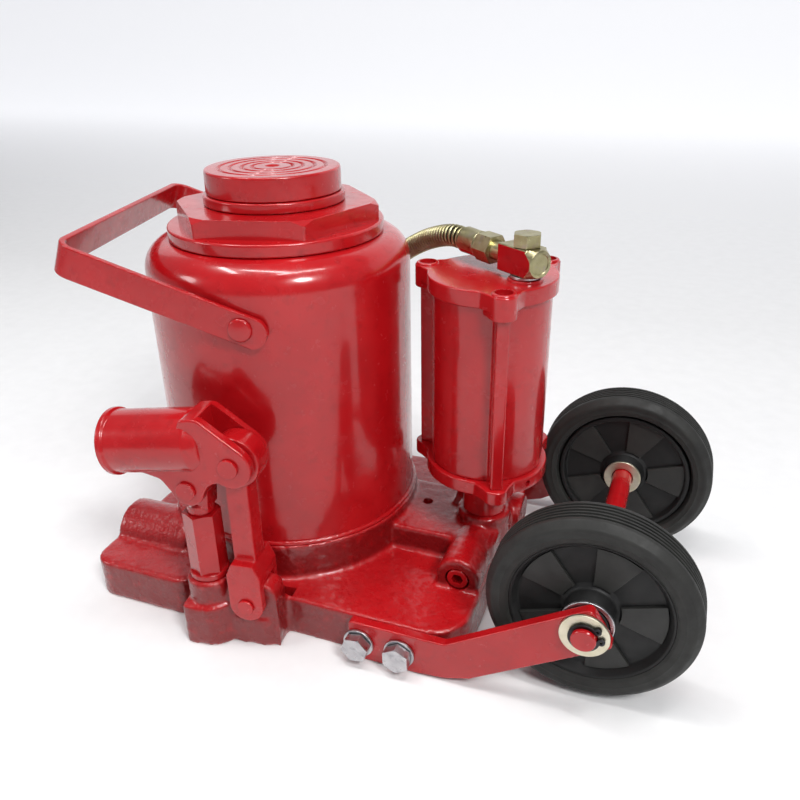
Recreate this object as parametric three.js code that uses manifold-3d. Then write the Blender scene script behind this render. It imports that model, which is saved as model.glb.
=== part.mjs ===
// Air and hand operated hydraulic bottle jack on transport wheels.
// Millimetres. +Z is up, +X points from the ram to the wheels, +Y points away from the hand pump.
// The origin is on the floor, on the axis of the ram.
import * as THREE from "three";
import { mergeVertices } from "three/addons/utils/BufferGeometryUtils.js";
import Module from "manifold-3d";

const wasm = await Module();
wasm.setup();

// ---------------------------------------------------------------- clearances
const GAP = 0.3; // between pieces that touch or seat on each other
const RUN = 0.4; // radial clearance of a shaft, pin or piston that moves
const SIDE = 0.8; // side clearance of a lever in its fork

// ---------------------------------------------------------------- tank and ram
const TANK_RADIUS = 87;
const TANK_WALL = 3.5;
const TANK_TOP = 243.5;
const SHOULDER_RADIUS = 18;
const RAM_RADIUS = 40;

// ---------------------------------------------------------------- air motor's place
const BARREL_RADIUS = 37.2;
const MOTOR = {
  x: TANK_RADIUS + BARREL_RADIUS + 20.8,
  y: 5,
  turn: THREE.MathUtils.degToRad(52.8), // to its first bolt
};

// ---------------------------------------------------------------- base casting
const PLATE_HEIGHT = 29;
const PLATE_HALF_WIDTH = TANK_RADIUS + 14.2; // the side faces that the wheel arms are bolted to
const PLATE_RIGHT = MOTOR.x + 15;
const PLATE_CORNER = 26;
const FOOT_LEFT = -TANK_RADIUS - 21;
const FOOT_HALF_WIDTH = PLATE_HALF_WIDTH + 10.8;
const FOOT_CORNER = 14;
const FOOT_INNER = -34;
const PEDESTAL_RADIUS = TANK_RADIUS + 3.5;
const PEDESTAL_HEIGHT = 55;
const RAISED_BLOCK = { left: 40, right: PLATE_RIGHT, front: -26, back: 38, top: 47 };
const MOTOR_BOSS = { radius: 18.5, height: 10 };
const PLUG_BOSS = { x: PLATE_RIGHT - 16, z: 37, radius: 15, front: -56 };
const GALLERY_BOSS = { y: 26, z: 42, radius: 14.5, end: PLATE_RIGHT + 9 };
const VALVE_BOSS = { y: -62, z: 25, radius: 21, inner: -50 };

// ---------------------------------------------------------------- cylinder, flange and saddle
const CYLINDER_BORE = RAM_RADIUS + 5;
const CYLINDER_WALL = 12;
const CYLINDER_FOOT = 40; // how high the cylinder's foot stands in the base
const CYLINDER_TOP = TANK_TOP - 7.5;
const RAM_BOTTOM = 56;
const PISTON_HEIGHT = 22;
const FLANGE_RADIUS = 70;
const FLANGE_HEIGHT = 8.2;
const HEX_CORNER_RADIUS = 68.3;
const HEX_HEIGHT = 11.5;
const HEX_TURN = THREE.MathUtils.degToRad(12.8);
const WIPER_RADIUS = RAM_RADIUS + 5.5;
const WIPER_HEIGHT = 6.2;
const SADDLE_RADIUS = RAM_RADIUS + 3.3;
const SADDLE_HEIGHT = 14.7;
const SADDLE_GROOVES = [13, 19.5, 27, 34];
const GROOVE = 1;

// ---------------------------------------------------------------- carrying bail
const BAIL = {
  turn: THREE.MathUtils.degToRad(13.4), // of the pivot axis about Z
  pivotHeight: TANK_TOP - 35.3,
  raised: THREE.MathUtils.degToRad(20.6), // of its arms above the horizontal
  reach: 115.9,
  width: 19.3,
  thickness: 3.6,
  corner: 8,
  rivet: 4.5,
};

// ---------------------------------------------------------------- hand pump
const PUMP = { x: -5.6, y: -PLATE_HALF_WIDTH - 12.3, turn: THREE.MathUtils.degToRad(7) };
const PUMP_BLOCK = { left: -14.5, front: 18, top: 30 };
const PUMP_BOSS = { radius: 15, top: 47.5 };
const PUMP_HEX_RADIUS = 12;
const PUMP_TOP = 95;
const PLUNGER_RADIUS = 6;
const PLUNGER_BOTTOM = 58;
const PIN_SPACING = 29.5; // from the plunger's axis to the link's
const LOW_PIN_HEIGHT = 34.2;
const LINK_LENGTH = 101.6;
const PLUNGER_PIN_HEIGHT = 116.8;
const PIN_RADIUS = 4.5;
const PIN_HEAD = { radius: PIN_RADIUS + 1.7, height: 1.6 };
const FORK_OUTER = 13.8; // half the width over the fork's plates
const FORK_PLATE = 5.5;
const LINK_WIDTH = 14.5;
const EAR_RADIUS = 11.5;
const EAR_PLATE = 5.4;
const TONGUE_RADIUS = 16.4;
const SLOT_PLAY = 1.7; // each way, where the plunger's eye is slotted for its pin
const SOCKET = {
  axisHeight: 144.5, // of the socket's axis above the floor, over the plunger
  droop: THREE.MathUtils.degToRad(7.6),
  radius: 19.6,
  bore: 16.5,
  rim: 21,
  rimWidth: 5,
  length: 53,
  boreDepth: 44,
};

// ---------------------------------------------------------------- air motor
const BARREL_WALL = 4;
const CAP_RADIUS = BARREL_RADIUS + 3.3;
const BOTTOM_CAP = { low: 90.5, top: 100 };
const TOP_CAP = { low: 217, top: 227.5, lobeLow: 213 };
const LOBE = { circle: BARREL_RADIUS + 7.3, radius: 8 };
const RIB_WIDTH = 8;
const TIE_BOLT_RADIUS = 2.2;
const NECK_RADIUS = 15;
const AIR_PISTON = { top: 208, thickness: 12 };
const AIR_ROD_RADIUS = 6;
const AIR_ROD_BOTTOM = 51;
const AIR_STROKE = 30;
const SPRING = { coil: 14, wire: 1.5, turns: 6 };

// ---------------------------------------------------------------- air inlet and hose
const BANJO = { x: 22.5, y: -10.8 }; // from the motor's axis
const ELBOW = { width: 16.5, behind: 17, ahead: 12.5, turn: THREE.MathUtils.degToRad(-36) };
const BANJO_WASHER = { radius: 9, thickness: 1.6 };
const INLET_SEAT = { radius: 10.5, height: 1.5 };
const HOSE_RADIUS = 5.25;
const GUARD_RADIUS = 7.5;
const GUARD_WALL = 1.6;
const HOSE_SIDES = 8;
const GUARD_POINTS = 4; // how many of the route's points the guard covers
const HOSE_ROUTE = [
  [121, 25.5, 240.8],
  [111, 32, 240.8],
  [86, 53.5, 231],
  [54, 81, 210],
  [23, 101, 184],
  [-1, 117, 146.5],
  [-18.5, 133, 96],
  [-33, 153, 47],
  [-43, 173, 21],
  [-51, 190.5, 9.5],
  [-56.7, 206.5, 5.6],
];
const COIL = { x: -114.3, y: 189.7, radius: 60, layers: 3, tail: 46 };
const VALVE = { length: 58, width: 20, height: 30, inlet: 16 };

// ---------------------------------------------------------------- transport wheels
const AXLE = { x: MOTOR.x + 87.6, z: 63.6, radius: 7 };
const WHEEL_RADIUS = 61.6;
const WHEEL_WIDTH = 28;
const WHEEL_OUTER = PLATE_HALF_WIDTH - 7.8; // distance of a wheel's outer face from the mid plane
const TYRE_INNER = 47;
const HUB_RADIUS = 15;
const ARM_THICKNESS = 6.6;
const ARM_HEIGHT = 29;
const ARM_FRONT = PLATE_RIGHT - 71.3;
const ARM_RISE = THREE.MathUtils.degToRad(32);
const ARM_END_WIDTH = 27;
const ARM_END = 11; // past the axle
const ARM_BOLTS = { first: PLATE_RIGHT - 64, spacing: 27.3, height: 14.6, radius: 5 };
const BOLT_HEAD = { corner: 9.2, height: 6.4 };
const BOLT_WASHER = { radius: 10, thickness: 2 };
const AXLE_WASHER = { radius: 13, thickness: 2 };
const AXLE_CLIP = { radius: 10.5, thickness: 1.4 };

// ---------------------------------------------------------------- finishes
const finish = (colour, roughness, metalness) =>
  new THREE.MeshStandardMaterial({ color: colour, roughness, metalness });
const RED = finish(0xb81a1c, 0.35, 0);
const STEEL = finish(0x8f9296, 0.35, 1);
const ZINC = finish(0xb4b6b8, 0.35, 1);
const YELLOW_ZINC = finish(0xa79a5e, 0.35, 1);
const RUBBER = finish(0x1b1b1a, 0.8, 0);
const BLACK_PLASTIC = finish(0x17171a, 0.55, 0);
const BLACK_STEEL = finish(0x202022, 0.45, 1);
const HOSE_RUBBER = finish(0x191a1c, 0.6, 0);

// ---------------------------------------------------------------- solids
function solidOf(geometry) {
  const loose = geometry.index ? geometry.toNonIndexed() : geometry;
  const bare = new THREE.BufferGeometry();
  bare.setAttribute("position", loose.getAttribute("position"));
  const merged = mergeVertices(bare, 1e-4);
  const corners = merged.index.array;
  const kept = [];
  for (let i = 0; i < corners.length; i += 3) {
    const [a, b, c] = [corners[i], corners[i + 1], corners[i + 2]];
    if (a !== b && b !== c && c !== a) kept.push(a, b, c);
  }
  return new wasm.Manifold(
    new wasm.Mesh({
      numProp: 3,
      vertProperties: merged.attributes.position.array,
      triVerts: new Uint32Array(kept),
    }),
  );
}

function geometryOf(solid) {
  const made = solid.getMesh();
  const geometry = new THREE.BufferGeometry();
  const corners = new THREE.BufferAttribute(new Float32Array(made.vertProperties), 3);
  geometry.setAttribute("position", corners);
  geometry.setIndex(new THREE.BufferAttribute(new Uint32Array(made.triVerts), 1));
  return geometry;
}

const joined = (...pieces) => geometryOf(pieces.map(solidOf).reduce((a, b) => a.add(b)));
const cut = (body, ...tools) =>
  geometryOf([body, ...tools].map(solidOf).reduce((a, b) => a.subtract(b)));
const common = (...pieces) =>
  geometryOf(pieces.map(solidOf).reduce((a, b) => a.intersect(b)));

// A profile of [radius, height] corners turned about +Z. A ring's profile closes on itself.
function turned(profile, segments = 32) {
  let area = 0;
  profile.forEach(([r, z], i) => {
    const [nextR, nextZ] = profile[(i + 1) % profile.length];
    area += r * nextZ - nextR * z;
  });
  const ordered = area > 0 ? [...profile] : [...profile].reverse();
  const onAxis = profile.filter(([r]) => r === 0).length;
  if (onAxis === 0) ordered.push(ordered[0]);
  else while (ordered[0][0] !== 0 || ordered[ordered.length - 1][0] !== 0) ordered.push(ordered.shift());
  const points = ordered.map(([r, z]) => new THREE.Vector2(r, z));
  return new THREE.LatheGeometry(points, segments).rotateX(Math.PI / 2);
}

const disc = (radius, low, high, segments = 24) =>
  turned([[0, low], [radius, low], [radius, high], [0, high]], segments);
const ring = (inner, outer, low, high, segments = 24) =>
  turned([[inner, low], [outer, low], [outer, high], [inner, high]], segments);
const hexagon = (corner, low, high, turn = 0) => disc(corner, low, high, 6).rotateZ(turn);
const box = (x0, x1, y0, y1, z0, z1) =>
  new THREE.BoxGeometry(x1 - x0, y1 - y0, z1 - z0).translate(
    (x0 + x1) / 2,
    (y0 + y1) / 2,
    (z0 + z1) / 2,
  );

// Turn a piece made along +Z to lie along +Y or +X.
const alongY = (geometry) => geometry.rotateX(-Math.PI / 2);
const alongX = (geometry) => geometry.rotateY(Math.PI / 2);

// An outline in plan, from one height to another.
function slab(shape, low, high, curveSegments = 6) {
  const settings = { depth: high - low, bevelEnabled: false, curveSegments };
  return new THREE.ExtrudeGeometry(shape, settings).translate(0, 0, low);
}

// An outline seen from -Y, with x across and z up, from one y to another.
function plate(shape, front, back, curveSegments = 6) {
  const settings = { depth: back - front, bevelEnabled: false, curveSegments };
  return new THREE.ExtrudeGeometry(shape, settings).rotateX(Math.PI / 2).translate(0, back, 0);
}

const outline = (points) => new THREE.Shape(points.map(([x, y]) => new THREE.Vector2(x, y)));

// Points along an arc, in degrees.
function arc(cx, cy, radius, from, to, steps) {
  const points = [];
  for (let i = 0; i <= steps; i += 1) {
    const a = THREE.MathUtils.degToRad(from + ((to - from) * i) / steps);
    points.push([cx + radius * Math.cos(a), cy + radius * Math.sin(a)]);
  }
  return points;
}

function node(name, geometry, material, parent) {
  const mesh = new THREE.Mesh(geometry, material);
  mesh.name = name;
  parent.add(mesh);
  return mesh;
}

const jack = new THREE.Group();

// ---------------------------------------------------------------- base casting
const sinRise = Math.sin(ARM_RISE);
const cosRise = Math.cos(ARM_RISE);
const pumpFrame = new THREE.Matrix4()
  .makeRotationZ(PUMP.turn)
  .setPosition(PUMP.x, PUMP.y, 0);
const EAR_INNER = FORK_OUTER - EAR_PLATE;
const LUG_HALF = EAR_INNER - SIDE;
const TONGUE_HALF = FORK_OUTER - FORK_PLATE - SIDE;

function basePlan() {
  const inset = PLATE_CORNER;
  const corner = FOOT_CORNER;
  const near = [
    ...arc(FOOT_LEFT + corner, -FOOT_HALF_WIDTH + corner, corner, 180, 270, 5),
    [FOOT_INNER, -FOOT_HALF_WIDTH],
    [FOOT_INNER + 8, -PLATE_HALF_WIDTH],
    ...arc(PLATE_RIGHT - inset, -PLATE_HALF_WIDTH + inset, inset, 270, 360, 7),
  ];
  const far = near.map(([x, y]) => [x, -y]).reverse();
  return outline([...near, ...far]);
}

function pumpBlock() {
  const { left, front } = PUMP_BLOCK;
  const block = outline([
    [left, 6],
    [left, -front],
    [4.3, -front],
    ...arc(0, 0, 18, -60, 60, 6),
    [left, 30],
  ]);
  const lugBack = PIN_SPACING + 18.5;
  const lugTop = [
    [PIN_SPACING - 14, 0],
    ...arc(PIN_SPACING, LOW_PIN_HEIGHT, 14, 180, 90, 4),
    ...arc(lugBack - 10, LOW_PIN_HEIGHT + 4, 10, 90, 0, 4),
    [lugBack, 0],
  ];
  const web = outline([
    [PIN_SPACING - 15, 40],
    [PIN_SPACING - 12, -10],
    [lugBack - 6, -10],
    [lugBack + 1, 40],
  ]);
  const pieces = joined(
    slab(block, 0, PUMP_BLOCK.top),
    disc(PUMP_BOSS.radius, 0, PUMP_BOSS.top, 32),
    plate(outline(lugTop), -LUG_HALF, LUG_HALF),
    slab(web, 0, LOW_PIN_HEIGHT - EAR_RADIUS - 2),
  );
  const pinHole = alongY(disc(PIN_RADIUS + RUN, -30, 30, 16));
  return cut(pieces, pinHole.translate(PIN_SPACING, 0, LOW_PIN_HEIGHT)).applyMatrix4(pumpFrame);
}

// Room in the plate's side face for the link's inner ear and its pin.
function earPocket() {
  const low = LOW_PIN_HEIGHT - EAR_RADIUS - 1.5;
  const x0 = PIN_SPACING - EAR_RADIUS - 2;
  return box(x0, x0 + 36, LUG_HALF, FORK_OUTER + 2.8, low, 70).applyMatrix4(pumpFrame);
}

function baseCasting() {
  const { left, right, front, back, top } = RAISED_BLOCK;
  const motorAt = (geometry) => geometry.translate(MOTOR.x, MOTOR.y, 0);
  const valve = alongX(disc(VALVE_BOSS.radius, FOOT_LEFT, VALVE_BOSS.inner, 18));
  const plug = alongY(disc(PLUG_BOSS.radius, PLUG_BOSS.front, front + 4, 20));
  const gallery = alongX(disc(GALLERY_BOSS.radius, right - 40, GALLERY_BOSS.end, 18));
  const body = joined(
    slab(basePlan(), 0, PLATE_HEIGHT),
    disc(PEDESTAL_RADIUS, 0, PEDESTAL_HEIGHT - GAP, 40),
    box(left, right, front, back, 5, top),
    motorAt(disc(MOTOR_BOSS.radius, 5, top + MOTOR_BOSS.height, 32)),
    valve.translate(0, VALVE_BOSS.y, VALVE_BOSS.z),
    plug.translate(PLUG_BOSS.x, 0, PLUG_BOSS.z),
    gallery.translate(0, GALLERY_BOSS.y, GALLERY_BOSS.z),
    pumpBlock(),
  );
  const tankSeat = ring(TANK_RADIUS - TANK_WALL - 1, TANK_RADIUS + 1, PEDESTAL_HEIGHT - 4, PEDESTAL_HEIGHT + 1, 40);
  const cylinderSeat = disc(CYLINDER_BORE + CYLINDER_WALL + GAP, CYLINDER_FOOT, PEDESTAL_HEIGHT + 1, 40);
  const pumpBore = disc(PUMP_HEX_RADIUS - 2.4, PLUNGER_BOTTOM - 24, PUMP_BOSS.top + 1, 18);
  const motorBore = disc(NECK_RADIUS - 5, AIR_ROD_BOTTOM - AIR_STROKE - 6, top + MOTOR_BOSS.height + 1, 18);
  const plugHole = alongY(disc(6 + GAP, PLUG_BOSS.front - 1, PLUG_BOSS.front + 14 + GAP, 16));
  const valveHole = alongX(disc(7 + RUN, FOOT_LEFT - 1, FOOT_LEFT + 32, 16));
  const boltHoles = [];
  for (const side of [-1, 1])
    for (const i of [0, 1]) {
      const x = ARM_BOLTS.first + i * ARM_BOLTS.spacing;
      const low = side < 0 ? -PLATE_HALF_WIDTH - 1 : PLATE_HALF_WIDTH - 18;
      const hole = alongY(disc(ARM_BOLTS.radius + GAP, low, low + 19, 16));
      boltHoles.push(hole.translate(x, 0, ARM_BOLTS.height));
    }
  const keep = cut(
    body,
    tankSeat,
    cylinderSeat,
    pumpBore.applyMatrix4(pumpFrame),
    earPocket(),
    motorAt(motorBore),
    plugHole.translate(PLUG_BOSS.x, 0, PLUG_BOSS.z),
    valveHole.translate(0, VALVE_BOSS.y, VALVE_BOSS.z),
    disc(4, top - 6, top + 1, 16).translate(PLATE_RIGHT - 59, 11, 0),
    box(-400, 400, -400, 400, -60, 0),
    ...boltHoles,
  );
  return keep;
}

node("base_casting", baseCasting(), RED, jack);

// ---------------------------------------------------------------- tank, cylinder and ram
function tank() {
  const low = PEDESTAL_HEIGHT - 4 + GAP;
  const inner = TANK_RADIUS - TANK_WALL;
  const neck = FLANGE_RADIUS - 4;
  const bend = TANK_TOP - SHOULDER_RADIUS;
  const outside = arc(TANK_RADIUS - SHOULDER_RADIUS, bend, SHOULDER_RADIUS, 0, 90, 5);
  const inside = arc(inner - SHOULDER_RADIUS + TANK_WALL, bend, SHOULDER_RADIUS - TANK_WALL, 90, 0, 3);
  return turned([[TANK_RADIUS, low], ...outside, [neck, TANK_TOP], [neck, TANK_TOP - TANK_WALL], ...inside, [inner, low]], 36);
}

node("tank_shell", tank(), RED, jack);

const cylinderOuter = CYLINDER_BORE + CYLINDER_WALL;
const cylinderTube = turned(
  [
    [6, CYLINDER_FOOT + GAP],
    [cylinderOuter, CYLINDER_FOOT + GAP],
    [cylinderOuter, CYLINDER_TOP],
    [CYLINDER_BORE, CYLINDER_TOP],
    [CYLINDER_BORE, RAM_BOTTOM - 4],
    [6, RAM_BOTTOM - 4],
  ],
  36,
);
node("lift_cylinder", cylinderTube, STEEL, jack);

const glandLow = TANK_TOP + GAP;
const hexLow = glandLow + FLANGE_HEIGHT;
const hexTop = hexLow + HEX_HEIGHT;

function glandNut() {
  const spigot = cylinderOuter - CYLINDER_WALL + 4;
  const flange = turned(
    [
      [0, CYLINDER_TOP + GAP],
      [spigot, CYLINDER_TOP + GAP],
      [spigot, glandLow],
      [FLANGE_RADIUS, glandLow],
      [FLANGE_RADIUS, hexLow],
      [0, hexLow],
    ],
    36,
  );
  const chamfer = turned(
    [
      [0, hexLow - 1],
      [HEX_CORNER_RADIUS + 4, hexLow - 1],
      [HEX_CORNER_RADIUS + 4, hexTop - 6],
      [HEX_CORNER_RADIUS - 6, hexTop],
      [0, hexTop],
    ],
    36,
  );
  const hex = common(hexagon(HEX_CORNER_RADIUS, hexLow - 1, hexTop, HEX_TURN), chamfer);
  return cut(joined(flange, hex), disc(RAM_RADIUS + RUN, 200, hexTop + 1, 36));
}

node("gland_nut", glandNut(), RED, jack);

const wiperLow = hexTop + GAP;
const saddleLow = wiperLow + WIPER_HEIGHT + GAP;
const saddleTop = saddleLow + SADDLE_HEIGHT;
const wiper = turned(
  [
    [RAM_RADIUS + RUN, wiperLow],
    [WIPER_RADIUS, wiperLow],
    [WIPER_RADIUS, wiperLow + WIPER_HEIGHT - 1.5],
    [WIPER_RADIUS - 1.5, wiperLow + WIPER_HEIGHT],
    [RAM_RADIUS + RUN, wiperLow + WIPER_HEIGHT],
  ],
  36,
);
node("rod_wiper", wiper, RED, jack);

const pistonRadius = CYLINDER_BORE - RUN;
const ram = turned(
  [
    [0, RAM_BOTTOM],
    [pistonRadius - 2, RAM_BOTTOM],
    [pistonRadius, RAM_BOTTOM + 2],
    [pistonRadius, RAM_BOTTOM + PISTON_HEIGHT],
    [RAM_RADIUS, RAM_BOTTOM + PISTON_HEIGHT],
    [RAM_RADIUS, saddleLow - GAP],
    [12, saddleLow - GAP],
    [12, saddleLow - 18],
    [0, saddleLow - 18],
  ],
  36,
);
node("ram", ram, STEEL, jack);

function saddle() {
  const grooves = [];
  for (const r of [...SADDLE_GROOVES].reverse())
    grooves.push([r + GROOVE, saddleTop], [r, saddleTop - GROOVE], [r - GROOVE, saddleTop]);
  return turned(
    [
      [0, saddleLow - 16],
      [12 - GAP, saddleLow - 16],
      [12 - GAP, saddleLow],
      [SADDLE_RADIUS, saddleLow],
      [SADDLE_RADIUS, saddleTop - 1.2],
      [SADDLE_RADIUS - 1.2, saddleTop],
      ...grooves,
      [0, saddleTop],
    ],
    32,
  );
}

node("saddle", saddle(), RED, jack);

// The oil filler is in the tank's wall, on the side away from the hand pump.
const FILLER = { turn: THREE.MathUtils.degToRad(140), height: TANK_TOP - 65.5, radius: 8 };

function fillerPlug() {
  const r = TANK_RADIUS + GAP;
  const head = alongX(disc(FILLER.radius, r, r + 3.5, 16));
  const body = cut(head, disc(r, -200, 200, 112));
  return body.rotateZ(FILLER.turn).translate(0, 0, FILLER.height);
}

node("filler_plug", fillerPlug(), BLACK_PLASTIC, jack);

// ---------------------------------------------------------------- carrying bail
// In its own frame the pivot is along X, and the arms run along -Y.
const bailFrame = new THREE.Group();
bailFrame.position.set(0, 0, BAIL.pivotHeight);
bailFrame.rotation.set(0, 0, BAIL.turn - Math.PI / 2);
jack.add(bailFrame);
const bailTilt = new THREE.Group();
bailTilt.rotation.x = -BAIL.raised;
bailFrame.add(bailTilt);
const BAIL_INNER = TANK_RADIUS + 1;

function bail() {
  const { reach, width, thickness, corner, rivet } = BAIL;
  const inner = BAIL_INNER;
  const outer = inner + thickness;
  const bend = (radius, from, to) => arc(inner - corner, -reach + thickness + corner, radius, from, to, 4);
  const half = [
    [inner, 16],
    [outer, 16],
    ...bend(corner + thickness, 0, -90),
  ];
  const innerHalf = [...bend(corner, -90, 0)];
  const mirror = (points) => points.map(([x, y]) => [-x, y]).reverse();
  const strip = outline([...half, ...mirror(half), ...mirror(innerHalf), ...innerHalf]);
  const holes = alongX(disc(rivet + RUN, -outer - 5, outer + 5, 16));
  const rounded = joined(
    alongX(disc(width / 2, -outer - 1, outer + 1, 18)).translate(0, 16 - width / 2, 0),
    box(-outer - 1, outer + 1, -reach - 1, 16 - width / 2, -width / 2, width / 2),
  );
  return cut(common(slab(strip, -width / 2, width / 2), rounded), holes);
}

node("bail", bail(), RED, bailTilt);

for (const [name, side] of [["bail_rivet_near", 1], ["bail_rivet_far", -1]]) {
  const { rivet, thickness } = BAIL;
  const start = TANK_RADIUS + GAP;
  const end = BAIL_INNER + thickness + GAP;
  const shank = turned(
    [
      [0, start - 2],
      [rivet, start - 2],
      [rivet, end],
      [rivet + 3, end],
      [rivet + 2.2, end + 1.6],
      [0, end + 2.4],
    ],
    16,
  );
  const seated = cut(
    alongX(shank),
    disc(start, -50, 50, 112),
  );
  if (side < 0) seated.rotateZ(Math.PI);
  node(name, seated, RED, bailFrame);
}

// ---------------------------------------------------------------- hand pump
const handPump = new THREE.Group();
handPump.position.set(PUMP.x, PUMP.y, 0);
handPump.rotation.z = PUMP.turn;
jack.add(handPump);

const highPinHeight = LOW_PIN_HEIGHT + LINK_LENGTH;
const pumpBottom = PUMP_BOSS.top + GAP;

function pumpCylinder() {
  const spigot = disc(PUMP_HEX_RADIUS - 3, PLUNGER_BOTTOM - 20, PUMP_BOSS.top + 1, 18);
  const collar = disc(PUMP_HEX_RADIUS + 0.4, pumpBottom, pumpBottom + 4, 18);
  const barrel = hexagon(PUMP_HEX_RADIUS, pumpBottom, PUMP_TOP, Math.PI / 6);
  return cut(
    joined(spigot, collar, barrel),
    disc(PLUNGER_RADIUS + RUN, PLUNGER_BOTTOM - GAP, PUMP_TOP + 1, 18),
    disc(3, 0, PUMP_TOP, 12),
  );
}

node("pump_cylinder", pumpCylinder(), RED, handPump);

function plunger() {
  const eye = 9.5;
  const half = TONGUE_HALF - 0.6;
  const slot = PIN_RADIUS + RUN + 0.3;
  const stadium = outline([
    ...arc(-SLOT_PLAY, PLUNGER_PIN_HEIGHT, slot, 90, 270, 8),
    ...arc(SLOT_PLAY, PLUNGER_PIN_HEIGHT, slot, -90, 90, 8),
  ]);
  const head = outline([
    [-8.5, PUMP_TOP + 5],
    [8.5, PUMP_TOP + 5],
    ...arc(1.5, PLUNGER_PIN_HEIGHT, eye, -30, 90, 5),
    ...arc(-1.5, PLUNGER_PIN_HEIGHT, eye, 90, 210, 5),
  ]);
  const rod = disc(PLUNGER_RADIUS, PLUNGER_BOTTOM, PUMP_TOP + 7, 18);
  return cut(joined(rod, plate(head, -half, half)), plate(stadium, -20, 20));
}

node("pump_plunger", plunger(), STEEL, handPump);

function fulcrumLink() {
  const neck = 57;
  const half = LINK_WIDTH / 2;
  const barEnd = highPinHeight - 2;
  const bar = box(PIN_SPACING - half, PIN_SPACING + half, -TONGUE_HALF, TONGUE_HALF, neck, barEnd);
  const tongue = alongY(disc(TONGUE_RADIUS, -TONGUE_HALF, TONGUE_HALF, 20));
  const clevis = outline([
    ...arc(PIN_SPACING, LOW_PIN_HEIGHT, EAR_RADIUS, -180, 0, 10),
    [PIN_SPACING + EAR_RADIUS, neck],
    [PIN_SPACING + half, neck + 8],
    [PIN_SPACING - half, neck + 8],
    [PIN_SPACING - EAR_RADIUS, neck],
  ]);
  const whole = joined(
    bar,
    tongue.translate(PIN_SPACING, 0, highPinHeight),
    plate(clevis, -FORK_OUTER, FORK_OUTER),
  );
  const slot = box(0, 60, -EAR_INNER, EAR_INNER, 0, LOW_PIN_HEIGHT + 16.5);
  const hole = (z) => alongY(disc(PIN_RADIUS + RUN, -40, 40, 16)).translate(PIN_SPACING, 0, z);
  return cut(whole, slot, hole(LOW_PIN_HEIGHT), hole(highPinHeight));
}

node("fulcrum_link", fulcrumLink(), RED, handPump);

function handleSocket() {
  const { axisHeight, droop, radius, bore, rim, rimWidth, length, boreDepth } = SOCKET;
  const place = (geometry) =>
    geometry.rotateY(-droop).translate(0, 0, axisHeight);
  const tube = alongX(
    turned(
      [
        [0, -length],
        [rim, -length],
        [rim, -length + rimWidth - 1.5],
        [radius, -length + rimWidth],
        [radius, 6],
        [radius - 4, 12],
        [0, 12],
      ],
      24,
    ),
  );
  const hole = alongX(disc(bore, -length - 1, -length + boreDepth, 32));
  const cheek = outline([
    [-36, 126],
    [-26, 125.3],
    [-16, 122.6],
    [-10.7, 115.2],
    ...arc(0.5, PLUNGER_PIN_HEIGHT, 10.8, 200, 350, 7),
    [14.2, 121],
    [18, 123.4],
    ...arc(PIN_SPACING, highPinHeight, 13.8, 235, 415, 10),
    [12.5, 165.6],
    [2, 164.2],
    [-36, 158],
  ]);
  const solid = joined(place(tube), plate(cheek, -FORK_OUTER, FORK_OUTER));
  const inside = FORK_OUTER - FORK_PLATE;
  const mouth = outline([
    [11.6, 190],
    [11.6, 140],
    [-13, 131],
    [-13, 80],
    [70, 80],
    [70, 190],
  ]);
  const pinHole = (x, z) => alongY(disc(PIN_RADIUS + GAP, -40, 40, 16)).translate(x, 0, z);
  return cut(
    solid,
    place(hole),
    plate(mouth, -inside, inside),
    pinHole(0, PLUNGER_PIN_HEIGHT),
    pinHole(PIN_SPACING, highPinHeight),
  );
}

node("handle_socket", handleSocket(), RED, handPump);

const pins = [
  ["link_pin_lower", PIN_SPACING, LOW_PIN_HEIGHT],
  ["link_pin_upper", PIN_SPACING, highPinHeight],
  ["plunger_pin", 0, PLUNGER_PIN_HEIGHT],
];
for (const [name, x, z] of pins) {
  const face = FORK_OUTER + GAP;
  const pin = turned(
    [
      [0, -face - PIN_HEAD.height],
      [PIN_HEAD.radius - 0.6, -face - PIN_HEAD.height],
      [PIN_HEAD.radius, -face - PIN_HEAD.height + 0.6],
      [PIN_HEAD.radius, -face],
      [PIN_RADIUS, -face],
      [PIN_RADIUS, face],
      [PIN_HEAD.radius, face],
      [PIN_HEAD.radius, face + 1],
      [0, face + 1],
    ],
    16,
  );
  node(name, alongY(pin).translate(x, 0, z), RED, handPump);
}

// ---------------------------------------------------------------- release valve and gallery plug
// A socket-head screw with its head at z = 0 and its shank along +Z.
function socketScrew(headRadius, headDepth, shankRadius, length, socketCorner) {
  const screw = turned(
    [
      [0, 0],
      [headRadius - 0.8, 0],
      [headRadius, 0.8],
      [headRadius, headDepth],
      [shankRadius, headDepth],
      [shankRadius, length],
      [0, length],
    ],
    16,
  );
  return cut(screw, hexagon(socketCorner, -1, headDepth * 0.6));
}

const releaseScrew = alongX(
  turned([[0, 0], [6, 0], [7, 1], [7, 22], [4, 27], [0, 27]], 16),
);
const crossSlot = box(-1, 5, -8, 8, -1.8, 1.8);
const valveScrew = cut(releaseScrew, crossSlot).translate(FOOT_LEFT + 1, VALVE_BOSS.y, VALVE_BOSS.z);
node("release_valve_screw", valveScrew, ZINC, jack);

const galleryPlug = alongY(socketScrew(6, 14, 6, 14.01, 3));
node("gallery_plug", galleryPlug.translate(PLUG_BOSS.x, PLUG_BOSS.front, PLUG_BOSS.z), RED, jack);

// ---------------------------------------------------------------- air motor
const airMotor = new THREE.Group();
airMotor.position.set(MOTOR.x, MOTOR.y, 0);
airMotor.rotation.z = MOTOR.turn;
jack.add(airMotor);

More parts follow.
